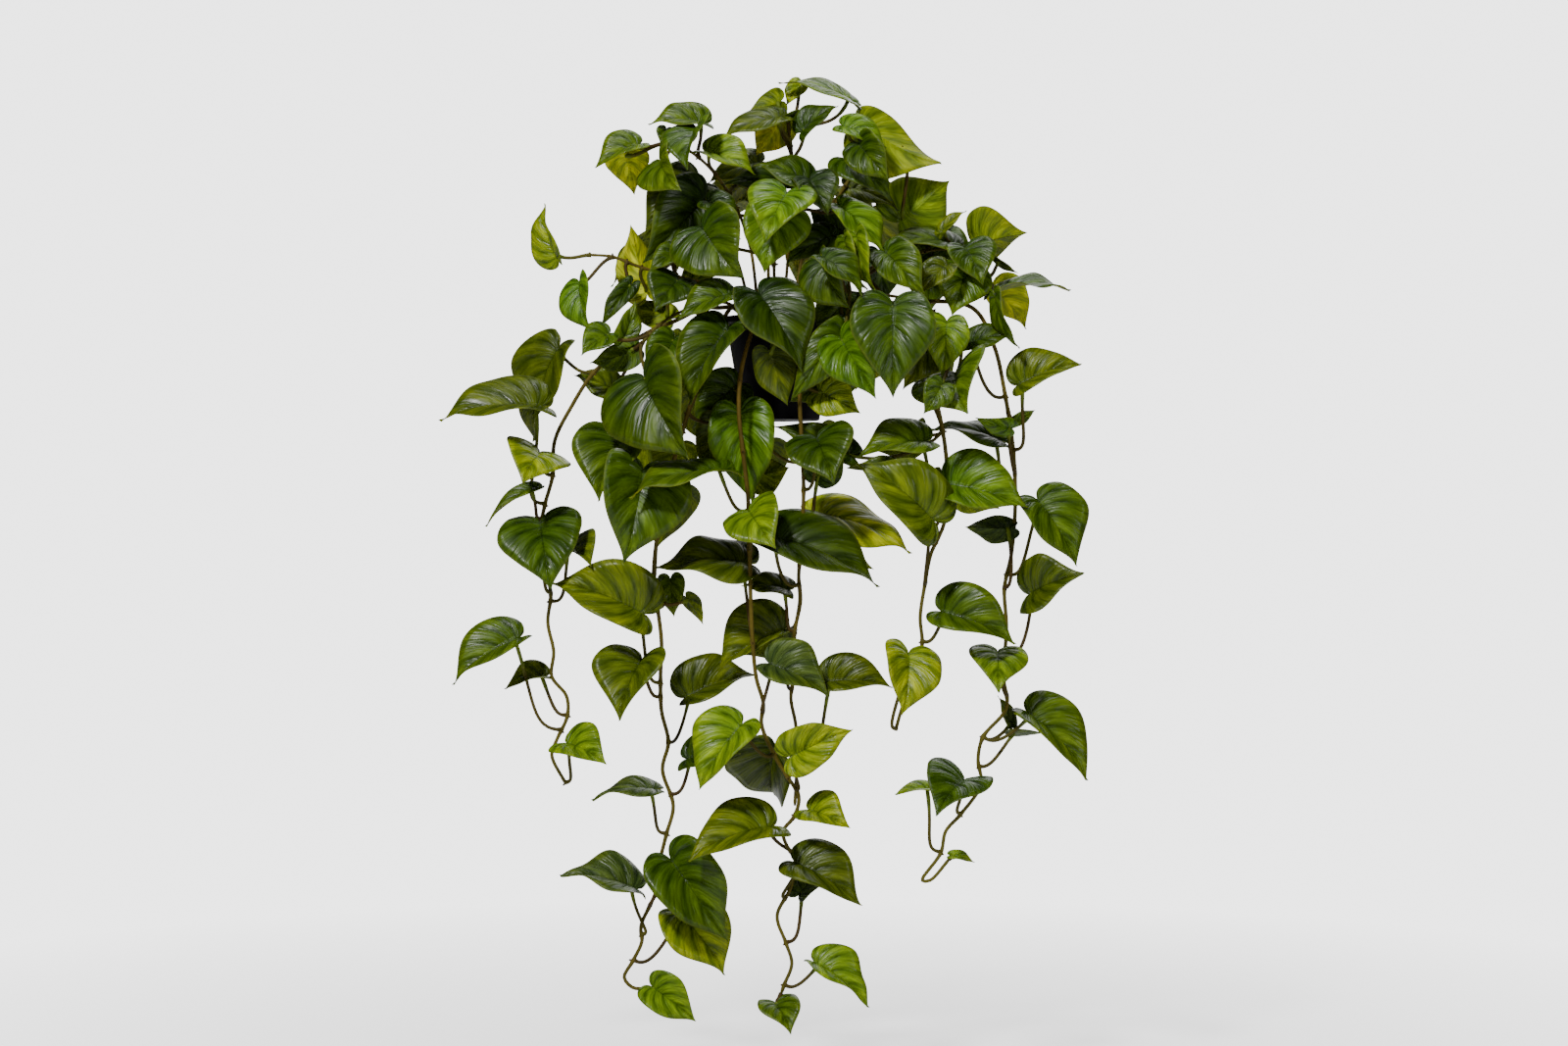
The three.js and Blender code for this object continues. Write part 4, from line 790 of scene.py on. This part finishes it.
def blade(leaf, rng):
    """A heart-shaped blade with sunken veins, waved edges and a bent tip, closed all round."""
    length = leaf["length"]
    veins = VEINS[0] if length < TINY_BLADE else VEINS[1] if length < SMALL_BLADE else VEINS[2]
    rows = veins * ROWS_A_VEIN
    at = np.linspace(0, 1, rows + 1)[1:-1, None]
    column = np.arange(-COLUMNS, COLUMNS + 1)[None, :]
    out = (np.abs(column) / COLUMNS) ** CROWDING
    edge_x, edge_y = np.moveaxis(heart_edge(at), -1, 0)
    start, middle = at**4, np.sin(math.pi * at)
    x = start + (edge_x - start) * out - VEIN_BOW * 4 * out * (1 - out) * middle
    phases = rng.uniform(0, TURN, 2)
    waves = rng.uniform(*WAVES)
    phase = np.where(column < 0, phases[0], phases[1])
    swayed = np.sin(TURN * waves * SWAY_PACE * at + phase + SWAY_LAG)
    y = edge_y * out * (1 + EDGE_SWAY * swayed * middle)
    size = length * rng.uniform(*WAVE_SPREAD) * min(1, length / SMALL_BLADE)
    ridge = np.abs(np.sin(math.pi * veins * at)) ** QUILT_RIDGE - QUILT_LEVEL
    lift = CUP * length * 4 * y * (1 - out)
    lift = lift + WAVE * size * out**WAVE_EDGE * np.sin(TURN * waves * at + phase) * middle**0.5
    lift = lift + QUILT * length * ridge * 4 * out * (1 - out) ** QUILT_FADE * (1 - QUILT_LOSS * at)
    lift = lift - GROOVE_DEPTH * np.exp(-((out / GROOVE_REACH) ** 2)) * (1 - GROOVE_LOSS * at)
    end = np.clip((x - TIP_START) / (1 - TIP_START), 0, 1) ** 2
    lift = lift - TIP_DROOP * length * end
    sway = TIP_SWAY * length * end * rng.uniform(-1, 1)
    lift = lift + 4 * BLADE_ARCH * length * x * (1 - x)

    def spread(x, y, lift, sway, column):
        half = np.where((column < 0)[..., None], leaf["left"], leaf["right"])
        return (leaf["base"] + x[..., None] * length * leaf["along"] + y[..., None] * half
                + lift[..., None] * leaf["upper"] + sway[..., None] * leaf["out"])

    column = np.broadcast_to(column, x.shape)
    inner = spread(x, y, lift, sway, column).reshape(-1, 3)
    ends = spread(np.array([0.0, 1.0]), np.zeros(2), np.array([0.0, lift[-1].mean()]),
                  np.array([0.0, sway[-1].mean()]), np.zeros(2))
    top = np.vstack([inner, ends])
    thick = BLADE_THICKNESS + RIB_DEPTH * np.exp(-((out / RIB_REACH) ** 2)) * (1 - RIB_LOSS * at)
    thick = np.append(thick.ravel(), [BLADE_THICKNESS, BLADE_THICKNESS])
    upper, lower, rim = blade_faces(rows)
    faces = upper + lower + rim
    if np.cross(leaf["left"] - leaf["right"], leaf["along"]).dot(leaf["upper"]) > 0:
        faces = [tuple(reversed(face)) for face in faces]
    return {"points": np.vstack([top, top - thick[:, None] * leaf["upper"]]), "faces": faces,
            "slots": [0] * len(upper) + [1] * len(lower) + [0] * len(rim), "flat": len(rim),
            "grid": vein_grid(out, at, veins), "out": out, "at": at}


def vein_grid(out, at, veins):
    """For each vertex: how far out from the midrib it is and its place among the side veins."""
    out, among = (values.ravel() for values in np.broadcast_arrays(out, at * veins))
    out, among = np.append(out, [0, 0]), np.append(among, [0, veins])
    grid = np.column_stack([out, among, np.zeros(len(out))])
    return np.vstack([grid, grid])


def blade_tints(leaf, out, at, rng):
    """Colours of the vertices: both sides, paler towards the edge and the tip."""
    seen = np.array(TONES[leaf["tone"]]) * rng.uniform(*TONE_SPREAD)
    if leaf["face"] > 0:
        upper, lower = seen, mixed(seen, UNDERSIDE, UNDERSIDE_SHARE)
    else:
        upper, lower = np.array(TONES["mid"]), seen
    pale = np.append((PALE_EDGE * out**4 + PALE_TIP * at**2).ravel(), [0.0, PALE_TIP])
    pale = pale * rng.uniform(*PALE_SPREAD)
    sides = []
    for colour in (upper, lower):
        light = mixed(colour * PALER, TONES["yellow"], PALER_YELLOW)
        sides.append(colour + (light - colour) * pale[:, None])
    return np.vstack(sides)


def room_for(points):
    """The move that brings points back between the sides of the CAD's box."""
    low, high = np.array(cad_low) / MM + BOX_ROOM, np.array(cad_high) / MM - BOX_ROOM
    return np.maximum(low - points.min(axis=0), 0) + np.minimum(high - points.max(axis=0), 0)


def stalk(growth, root, heading, leaf, rng):
    """A leaf stalk that is thick where it leaves the stem, and has a pale joint below the blade."""
    notch, upper = leaf["base"], leaf["upper"]
    middle_lift = 4 * BLADE_ARCH * BLADE_MIDDLE * (1 - BLADE_MIDDLE)
    inward = unit(leaf["along"] * BLADE_MIDDLE + upper * middle_lift)
    span = np.linalg.norm(notch - root)
    towards = (notch - root) / span
    climb = 0.5 + 0.5 * (notch[2] - root[2]) / span
    controls = (
        root - heading * STEM_RADIUS / 2,
        root + unit(heading + towards) * STALK_LEAVE * span,
        mixed(notch, root, STALK_NEAR) - upper * STALK_UNDER * span - UP * STALK_SAG * climb * span,
        notch + inward * STALK_IN_BLADE - upper * STALK_SINK,
    )
    part = np.linspace(0, 1, STALK_STEPS + 1)
    flare = FLARE * np.exp(-part * span / FLARE_LENGTH)
    joint = (JOINT_RADIUS - STALK_RADIUS) * np.clip((part - JOINT_START) / JOINT_RISE, 0, 1)
    joint = joint * np.clip((JOINT_END - part) / JOINT_FALL, 0, 1)
    points, faces = tube(bezier(controls, part), STALK_RADIUS + flare + joint, STALK_SIDES)
    plain = mixed(STALK_BROWN, STALK_GREEN, rng.uniform(0, 1))
    share = np.clip((part - JOINT_START + JOINT_RISE) / JOINT_BLUR, 0, 1)[:, None]
    growth.add(points, faces, 2, np.repeat(mixed(plain, JOINT_PALE, share), STALK_SIDES, axis=0))


def nub(growth, root, heading, away, rng):
    """The stub of a root that stands on a stem opposite a stalk."""
    away = unit(away - heading * away.dot(heading))
    reach = STEM_RADIUS + rng.uniform(*NUB_REACH)
    line = [root + away * share * reach + heading * share * NUB_LEAN for share in NUB_SHARES]
    growth.add(*tube(line, NUB_RADII, NUB_SIDES), 2, STALK_BROWN)


def stem_rod(growth, stem, spline, first, rng):
    """A stem with slightly thick nodes where its stalks stand, thinner towards its end."""
    at, line = spline.line(STEM_STEP)
    radius = STEM_RADIUS if stem["trails"] else CROWN_STEM_RADIUS
    radii = radius * (1 - STEM_TAPER * at / at[-1])
    for leaf in stem["leaves"]:
        gap = np.linalg.norm(line - spline.point(first + leaf["foot"]), axis=1)
        radii = radii + NODE_SWELL * np.exp(-((gap / NODE_LENGTH) ** 2))
    line = np.vstack([line[0] - UP * ROOT_DEPTH, line[0] - UP * ROOT_DEPTH / 2, line])
    radii = np.append([radii[0], radii[0]], radii)
    radii[-1] *= STEM_END
    points, faces = tube(line, radii, STEM_SIDES)
    share = np.linspace(rng.uniform(*OLIVE_AT_ROOT), rng.uniform(*OLIVE_AT_END), len(line))[:, None]
    growth.add(points, faces, 2, np.repeat(mixed(STEM_BROWN, STEM_OLIVE, share), STEM_SIDES, axis=0))


def leafy_stem(stem, number, materials):
    growth = Growth()
    rng = np.random.default_rng(STEM_SEED + number)
    spline, first = stem_spline(stem)
    stem_rod(growth, stem, spline, first, rng)
    for leaf in stem["leaves"]:
        made = blade(leaf, rng)
        move = room_for(made["points"])
        leaf["base"] = leaf["base"] + move
        at = first + leaf["foot"]
        root, heading = spline.point(at), spline.heading(at)
        stalk(growth, root, heading, leaf, rng)
        nub(growth, root, heading, root - leaf["base"], rng)
        tints = blade_tints(leaf, made["out"], made["at"], rng)
        growth.add(made["points"] + move, made["faces"], made["slots"], tints, made["grid"], made["flat"])
    return growth.to_object(stem["name"] + "_grown", materials)


def turned(profile, sides):
    """Points and faces of a closed form turned about the pot's axis, from a profile that starts on it."""
    angles = np.arange(sides) * TURN / sides
    points = [np.array([[0, 0, profile[0][1]]])]
    for radius, height in profile[1:-1]:
        ring = [radius * np.cos(angles), radius * np.sin(angles), np.full(sides, height)]
        points.append(np.column_stack(ring))
    points.append(np.array([[0, 0, profile[-1][1]]]))
    points = np.concatenate(points)
    end = len(points) - 1
    faces = []
    for side in range(sides):
        following = (side + 1) % sides
        faces.append((0, 1 + following, 1 + side))
        for ring in range(len(profile) - 3):
            low, high = 1 + ring * sides, 1 + (ring + 1) * sides
            faces.append((low + side, low + following, high + following, high + side))
        top = 1 + (len(profile) - 3) * sides
        faces.append((top + side, top + following, end))
    return points, faces


def rounded(profile, radius, steps=4):
    """The profile with its inner corners rounded."""
    made = [profile[0]]
    for before, corner, after in zip(profile, profile[1:], profile[2:]):
        before, corner, after = (np.array(p, float) for p in (before, corner, after))
        cut = min(radius, np.linalg.norm(before - corner) / 2.2, np.linalg.norm(after - corner) / 2.2)
        a = corner + unit(before - corner) * cut
        b = corner + unit(after - corner) * cut
        for part in np.linspace(0, 1, steps):
            made.append(tuple(mixed(mixed(a, corner, part), mixed(corner, b, part), part)))
    made.append(profile[-1])
    return made


def pot():
    inner_base = BASE_RADIUS + POT_SLOPE * FLOOR - WALL
    inner_top = WALL_TOP_RADIUS + POT_SLOPE * LIP_HEIGHT - WALL
    profile = [(0, -POT_DEPTH), (BASE_RADIUS, -POT_DEPTH), (WALL_TOP_RADIUS, 0), (LIP_RADIUS, 0),
               (LIP_RADIUS, LIP_HEIGHT), (inner_top, LIP_HEIGHT), (inner_base, FLOOR - POT_DEPTH),
               (0, FLOOR - POT_DEPTH)]
    growth = Growth()
    growth.add(*turned(rounded(profile, POT_ROUNDING), POT_SIDES))
    return growth.to_object("pot_wall", [pot_material()])


def soil():
    """The soil, with a crumbly top."""
    rng = np.random.default_rng(SOIL_SEED)
    bottom = FLOOR - POT_DEPTH + CLEARANCE
    inner = WALL_TOP_RADIUS + POT_SLOPE * SOIL_LEVEL - WALL - CLEARANCE
    inner_bottom = WALL_TOP_RADIUS + POT_SLOPE * bottom - WALL - CLEARANCE
    profile = [(0, bottom), (inner_bottom, bottom)]
    profile += [(radius, SOIL_LEVEL + SOIL_MOUND * (1 - radius / inner))
                for radius in np.linspace(inner, SOIL_INNERMOST, SOIL_RINGS)]
    profile.append((0, SOIL_LEVEL + SOIL_MOUND))
    points, faces = turned(profile, POT_SIDES)
    on_top = points[:, 2] > SOIL_LEVEL + 0.01
    points[on_top, 2] += rng.uniform(-SOIL_ROUGHNESS, SOIL_ROUGHNESS, on_top.sum())
    growth = Growth()
    growth.add(points, faces)
    for _ in range(CRUMBS):
        angle, reach = rng.uniform(0, TURN), inner * math.sqrt(rng.uniform(0, CRUMB_REACH))
        centre = np.array([reach * math.cos(angle), reach * math.sin(angle), SOIL_LEVEL + CRUMB_LEVEL])
        size = rng.uniform(*CRUMB_SIZE)
        corners = np.array(OCTAHEDRON) * size * rng.uniform(*CRUMB_SPREAD, (6, 1)) * CRUMB_FLATNESS
        growth.add(centre + corners, OCTAHEDRON_FACES)
    return growth.to_object("soil_mix", [soil_material()])


class Shader:
    """Builds the nodes of a material or of the world."""

    def __init__(self, owner):
        owner.use_nodes = True
        self.owner = owner
        self.tree = owner.node_tree
        self.tree.nodes.clear()

    def node(self, kind, inputs=None, **settings):
        """Adds a node with its settings and the values of its inputs."""
        made = self.tree.nodes.new("ShaderNode" + kind)
        for key, value in settings.items():
            setattr(made, key, value)
        for key, value in (inputs or {}).items():
            socket = made.inputs[key]
            if isinstance(value, bpy.types.NodeSocket):
                self.tree.links.new(value, socket)
            else:
                socket.default_value = (*value, 1) if socket.type == "RGBA" else value
        return made

    def math(self, operation, *values, clamp=False):
        return self.node("Math", dict(enumerate(values)), operation=operation, use_clamp=clamp).outputs[0]

    def remap(self, value, low, high, new_low=0.0, new_high=1.0):
        inputs = {"Value": value, "From Min": low, "From Max": high, "To Min": new_low, "To Max": new_high}
        return self.node("MapRange", inputs, clamp=True).outputs["Result"]

    def mix(self, share, a, b, blend="MIX"):
        return self.node("Mix", {0: share, 6: a, 7: b}, data_type="RGBA", blend_type=blend).outputs[2]

    def times(self, colour, factor):
        return self.mix(1.0, colour, factor, "MULTIPLY")

    def varied(self, colour, value, low, high, factors):
        """The colour times a factor that goes from the first to the second as the value rises."""
        return self.times(colour, self.mix(self.remap(value, low, high), *factors))

    def noise(self, vector, scale, detail):
        inputs = {"Vector": vector, "Scale": scale, "Detail": detail}
        return self.node("TexNoise", inputs).outputs["Fac"]

    def vector(self, **parts):
        return self.node("CombineXYZ", parts).outputs[0]

    def object_place(self):
        return self.node("TexCoord").outputs["Object"]

    def attribute(self, name, output):
        return self.node("Attribute", attribute_name=name).outputs[output]

    def bump(self, height, strength, distance):
        inputs = {"Height": height, "Strength": strength, "Distance": distance}
        return self.node("Bump", inputs).outputs["Normal"]

    def skin(self, colour, roughness, normal, specular, ior=1.5):
        inputs = {"Base Color": colour, "Roughness": roughness, "Normal": normal, "IOR": ior,
                  "Specular IOR Level": specular}
        return self.node("BsdfPrincipled", inputs).outputs[0]

    def blend(self, share, first, second):
        return self.node("MixShader", {0: share, 1: first, 2: second}).outputs[0]

    def emission(self, kind, strength):
        return self.node(kind, {"Color": WHITE, "Strength": strength}).outputs[0]

    def finish(self, surface, output="OutputMaterial"):
        self.node(output, {"Surface": surface})
        return self.owner


def leaf_material(name, veined, share, roughness, glow):
    """A waxy leaf: tinted, with veins, painted shade by them, streaks that partly paint a sheen, and light
    coming through.
    """
    shader = Shader(bpy.data.materials.new(name))
    calc, remap = shader.math, shader.remap
    tint = shader.attribute("tint", "Color")
    parts = shader.node("SeparateXYZ", {0: shader.attribute("veins", "Vector")})
    out, among = parts.outputs["X"], parts.outputs["Y"]
    blotch = shader.noise(shader.object_place(), scale=BLOTCH_SCALE, detail=4.0)

    # Side veins lie where the place among them is a whole number, and differ in strength.
    past_vein = calc("SUBTRACT", calc("FRACT", calc("ADD", among, 0.5)), 0.5)
    gap = calc("ABSOLUTE", past_vein)
    reach = remap(out, 0.0, 1.0, *VEIN_BREADTH)
    side_vein = calc("SUBTRACT", 1.0, calc("DIVIDE", gap, reach), clamp=True)
    side_vein = calc("MULTIPLY", side_vein, remap(out, *VEIN_FADE, 1.0, 0.0))
    strength = shader.noise(shader.vector(Y=calc("MULTIPLY", among, VEIN_CHANGE), Z=blotch), 1.0, 1.0)
    side_vein = calc("MULTIPLY", side_vein, remap(strength, *VEIN_STRENGTH))
    vein = calc("MAXIMUM", side_vein, remap(out, 0.0, MIDRIB_BREADTH, 1.0, 0.0))

    # Streaks and pleats run out from the midrib between the side veins; their lighter and darker colour
    # bands are partly painted sheen.
    streaks = []
    for along, across in STREAK_SCALES:
        x, y = calc("MULTIPLY", out, along), calc("MULTIPLY", among, across)
        streaks.append(shader.noise(shader.vector(X=x, Y=y, Z=blotch), 1.0, 1.0))
    streak = calc("ADD", *(calc("MULTIPLY", *pair) for pair in zip(streaks, STREAK_SHARES)))
    swayed = calc("MULTIPLY", streaks[0], PLEAT_SWAY)
    pleat = calc("ADD", calc("MULTIPLY", among, PLEATS), swayed)
    pleat = calc("SINE", calc("MULTIPLY", pleat, TURN))

    colour = shader.varied(tint, blotch, *PATCHY, BLOTCHED)
    colour = shader.varied(colour, streak, *STREAK_RANGE, STREAK_SHEEN)
    colour = shader.varied(colour, pleat, -1.0, 1.0, PLEAT_SHEEN)
    # Painted shade by the side veins and painted light on the bulges between them
    colour = shader.varied(colour, gap, *BULGE_SHADING_SPAN, BULGE_SHADING)
    colour = shader.mix(calc("MULTIPLY", vein, share), colour, shader.times(colour, veined))
    colour = shader.mix(remap(out, RIM_START, 1.0, 0.0, RIM_SHARE), colour, RIM_PALE)

    height = calc("MULTIPLY", streak, STREAK_HEIGHT)
    height = calc("ADD", height, calc("MULTIPLY", vein, VEIN_HEIGHT))
    height = calc("ADD", height, calc("MULTIPLY", pleat, PLEAT_HEIGHT))
    normal = shader.bump(height, remap(out, *RELIEF_STRENGTH), RELIEF)
    dull = remap(streak, *STREAK_RANGE, *(roughness + change for change in GLOSS_SPREAD))
    dull = calc("ADD", dull, remap(out, *EDGE_DULL))
    waxy = shader.skin(colour, dull, normal, LEAF_SPECULAR, LEAF_IOR)
    through = shader.node("BsdfTranslucent", {"Color": shader.times(colour, THROUGH), "Normal": normal})
    return shader.finish(shader.blend(glow, waxy, through.outputs[0]))


def stem_material():
    """Bark-like skin with fine grain and dark patches."""
    shader = Shader(bpy.data.materials.new("stem_skin"))
    grain = shader.noise(shader.object_place(), scale=260.0, detail=4.0)
    patch = shader.noise(shader.object_place(), scale=45.0, detail=2.0)
    colour = shader.varied(shader.attribute("tint", "Color"), patch, *PATCHY, BARK_PATCHED)
    colour = shader.varied(colour, grain, *PATCHY, BARK_GRAINED)
    normal = shader.bump(grain, strength=0.35, distance=0.0003)
    return shader.finish(shader.skin(colour, roughness=0.6, normal=normal, specular=0.1))


def pot_material():
    """Satin black moulded plastic, faintly scuffed."""
    shader = Shader(bpy.data.materials.new("pot_plastic"))
    grain = shader.noise(shader.object_place(), scale=900.0, detail=3.0)
    worn = shader.remap(shader.noise(shader.object_place(), scale=30.0, detail=6.0), 0.45, 0.7)
    colour = shader.mix(worn, POT_BLACK, POT_WORN)
    dull = shader.remap(worn, 0.0, 1.0, 0.36, 0.5)
    normal = shader.bump(grain, strength=0.25, distance=0.0002)
    return shader.finish(shader.skin(colour, dull, normal, specular=0.05))


def soil_material():
    """Damp dark potting mix."""
    shader = Shader(bpy.data.materials.new("potting_mix"))
    crumb = shader.node("TexVoronoi", {"Vector": shader.object_place(), "Scale": 420.0}).outputs["Distance"]
    patch = shader.noise(shader.object_place(), scale=160.0, detail=6.0)
    colour = shader.mix(shader.remap(patch, 0.35, 0.65), SOIL_DARK, SOIL_LIGHT)
    normal = shader.bump(shader.math("ADD", crumb, patch), strength=0.8, distance=0.0012)
    return shader.finish(shader.skin(colour, roughness=0.92, normal=normal, specular=0.5))


def floor_material():
    """Pale and matt, and as bright to the camera as the room where it is far off."""
    shader = Shader(bpy.data.materials.new("floor_pale"))
    distance = shader.node("VectorMath", {0: shader.object_place()}, operation="LENGTH").outputs["Value"]
    seen = shader.node("LightPath").outputs["Is Camera Ray"]
    share = shader.math("MULTIPLY", seen, shader.remap(distance, *FLOOR_FADE))
    matt = shader.node("BsdfDiffuse", {"Color": FLOOR_PALE}).outputs[0]
    return shader.finish(shader.blend(share, matt, shader.emission("Emission", BACKDROP)))


def room():
    """An evenly pale room that lights less than it shows."""
    shader = Shader(bpy.data.worlds.new("room"))
    seen = shader.node("LightPath").outputs["Is Camera Ray"]
    lit, shown = shader.emission("Background", ROOM_LIGHT), shader.emission("Background", BACKDROP)
    return shader.finish(shader.blend(seen, lit, shown), "OutputWorld")


def area_light(name, place_at, size, watts):
    data = bpy.data.lights.new(name, "AREA")
    data.shape = "DISK"
    data.size = size
    data.energy = watts
    thing = linked(bpy.data.objects.new(name, data))
    thing.location = place_at
    heading = Vector(LIT_PLACE) - Vector(place_at)
    thing.rotation_euler = heading.to_track_quat("-Z", "Y").to_euler()


def studio():
    """A pale floor below the lowest leaf, the room and its soft lights."""
    low, half = cad_low[2] - FLOOR_DROP, FLOOR_HALF
    mesh = bpy.data.meshes.new("floor")
    corners = [(-half, -half, low), (half, -half, low), (half, half, low), (-half, half, low)]
    mesh.from_pydata(corners, [], [(0, 1, 2, 3)])
    mesh.materials.append(floor_material())
    linked(bpy.data.objects.new("floor", mesh))
    bpy.context.scene.world = room()
    for light in LIGHTS:
        area_light(*light)


def camera():
    """A level camera at the eye that the places are read from."""
    data = bpy.data.cameras.new("camera")
    data.sensor_width = SENSOR
    data.lens = SENSOR * VIEW_DISTANCE / IMAGE_WIDTH
    thing = linked(bpy.data.objects.new("camera", data))
    thing.location = (place(VIEW_ACROSS, VIEW_DOWN, 0) - np.array([0, VIEW_DISTANCE, 0])) * MM
    thing.rotation_euler = (math.pi / 2, 0, 0)
    bpy.context.scene.camera = thing


def stand_for(thing, node):
    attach(thing, "root")
    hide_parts(node)


def main():
    stand_for(pot(), "pot")
    stand_for(soil(), "soil")
    materials = [
        leaf_material("leaf_upper", veined=(0.32, 0.40, 0.30), share=0.8, roughness=0.35, glow=0.12),
        leaf_material("leaf_under", veined=(1.25, 1.2, 1.1), share=0.6, roughness=0.52, glow=0.22),
        stem_material(),
    ]
    stems = [read_stem(*row) for row in READ_STEMS] + [far_stem(*row) for row in FAR_STEMS]
    for number, stem in enumerate(stems):
        stand_for(leafy_stem(stem, number, materials), stem["name"])
    camera()
    studio()


main()
bpy.context.view_layer.update()
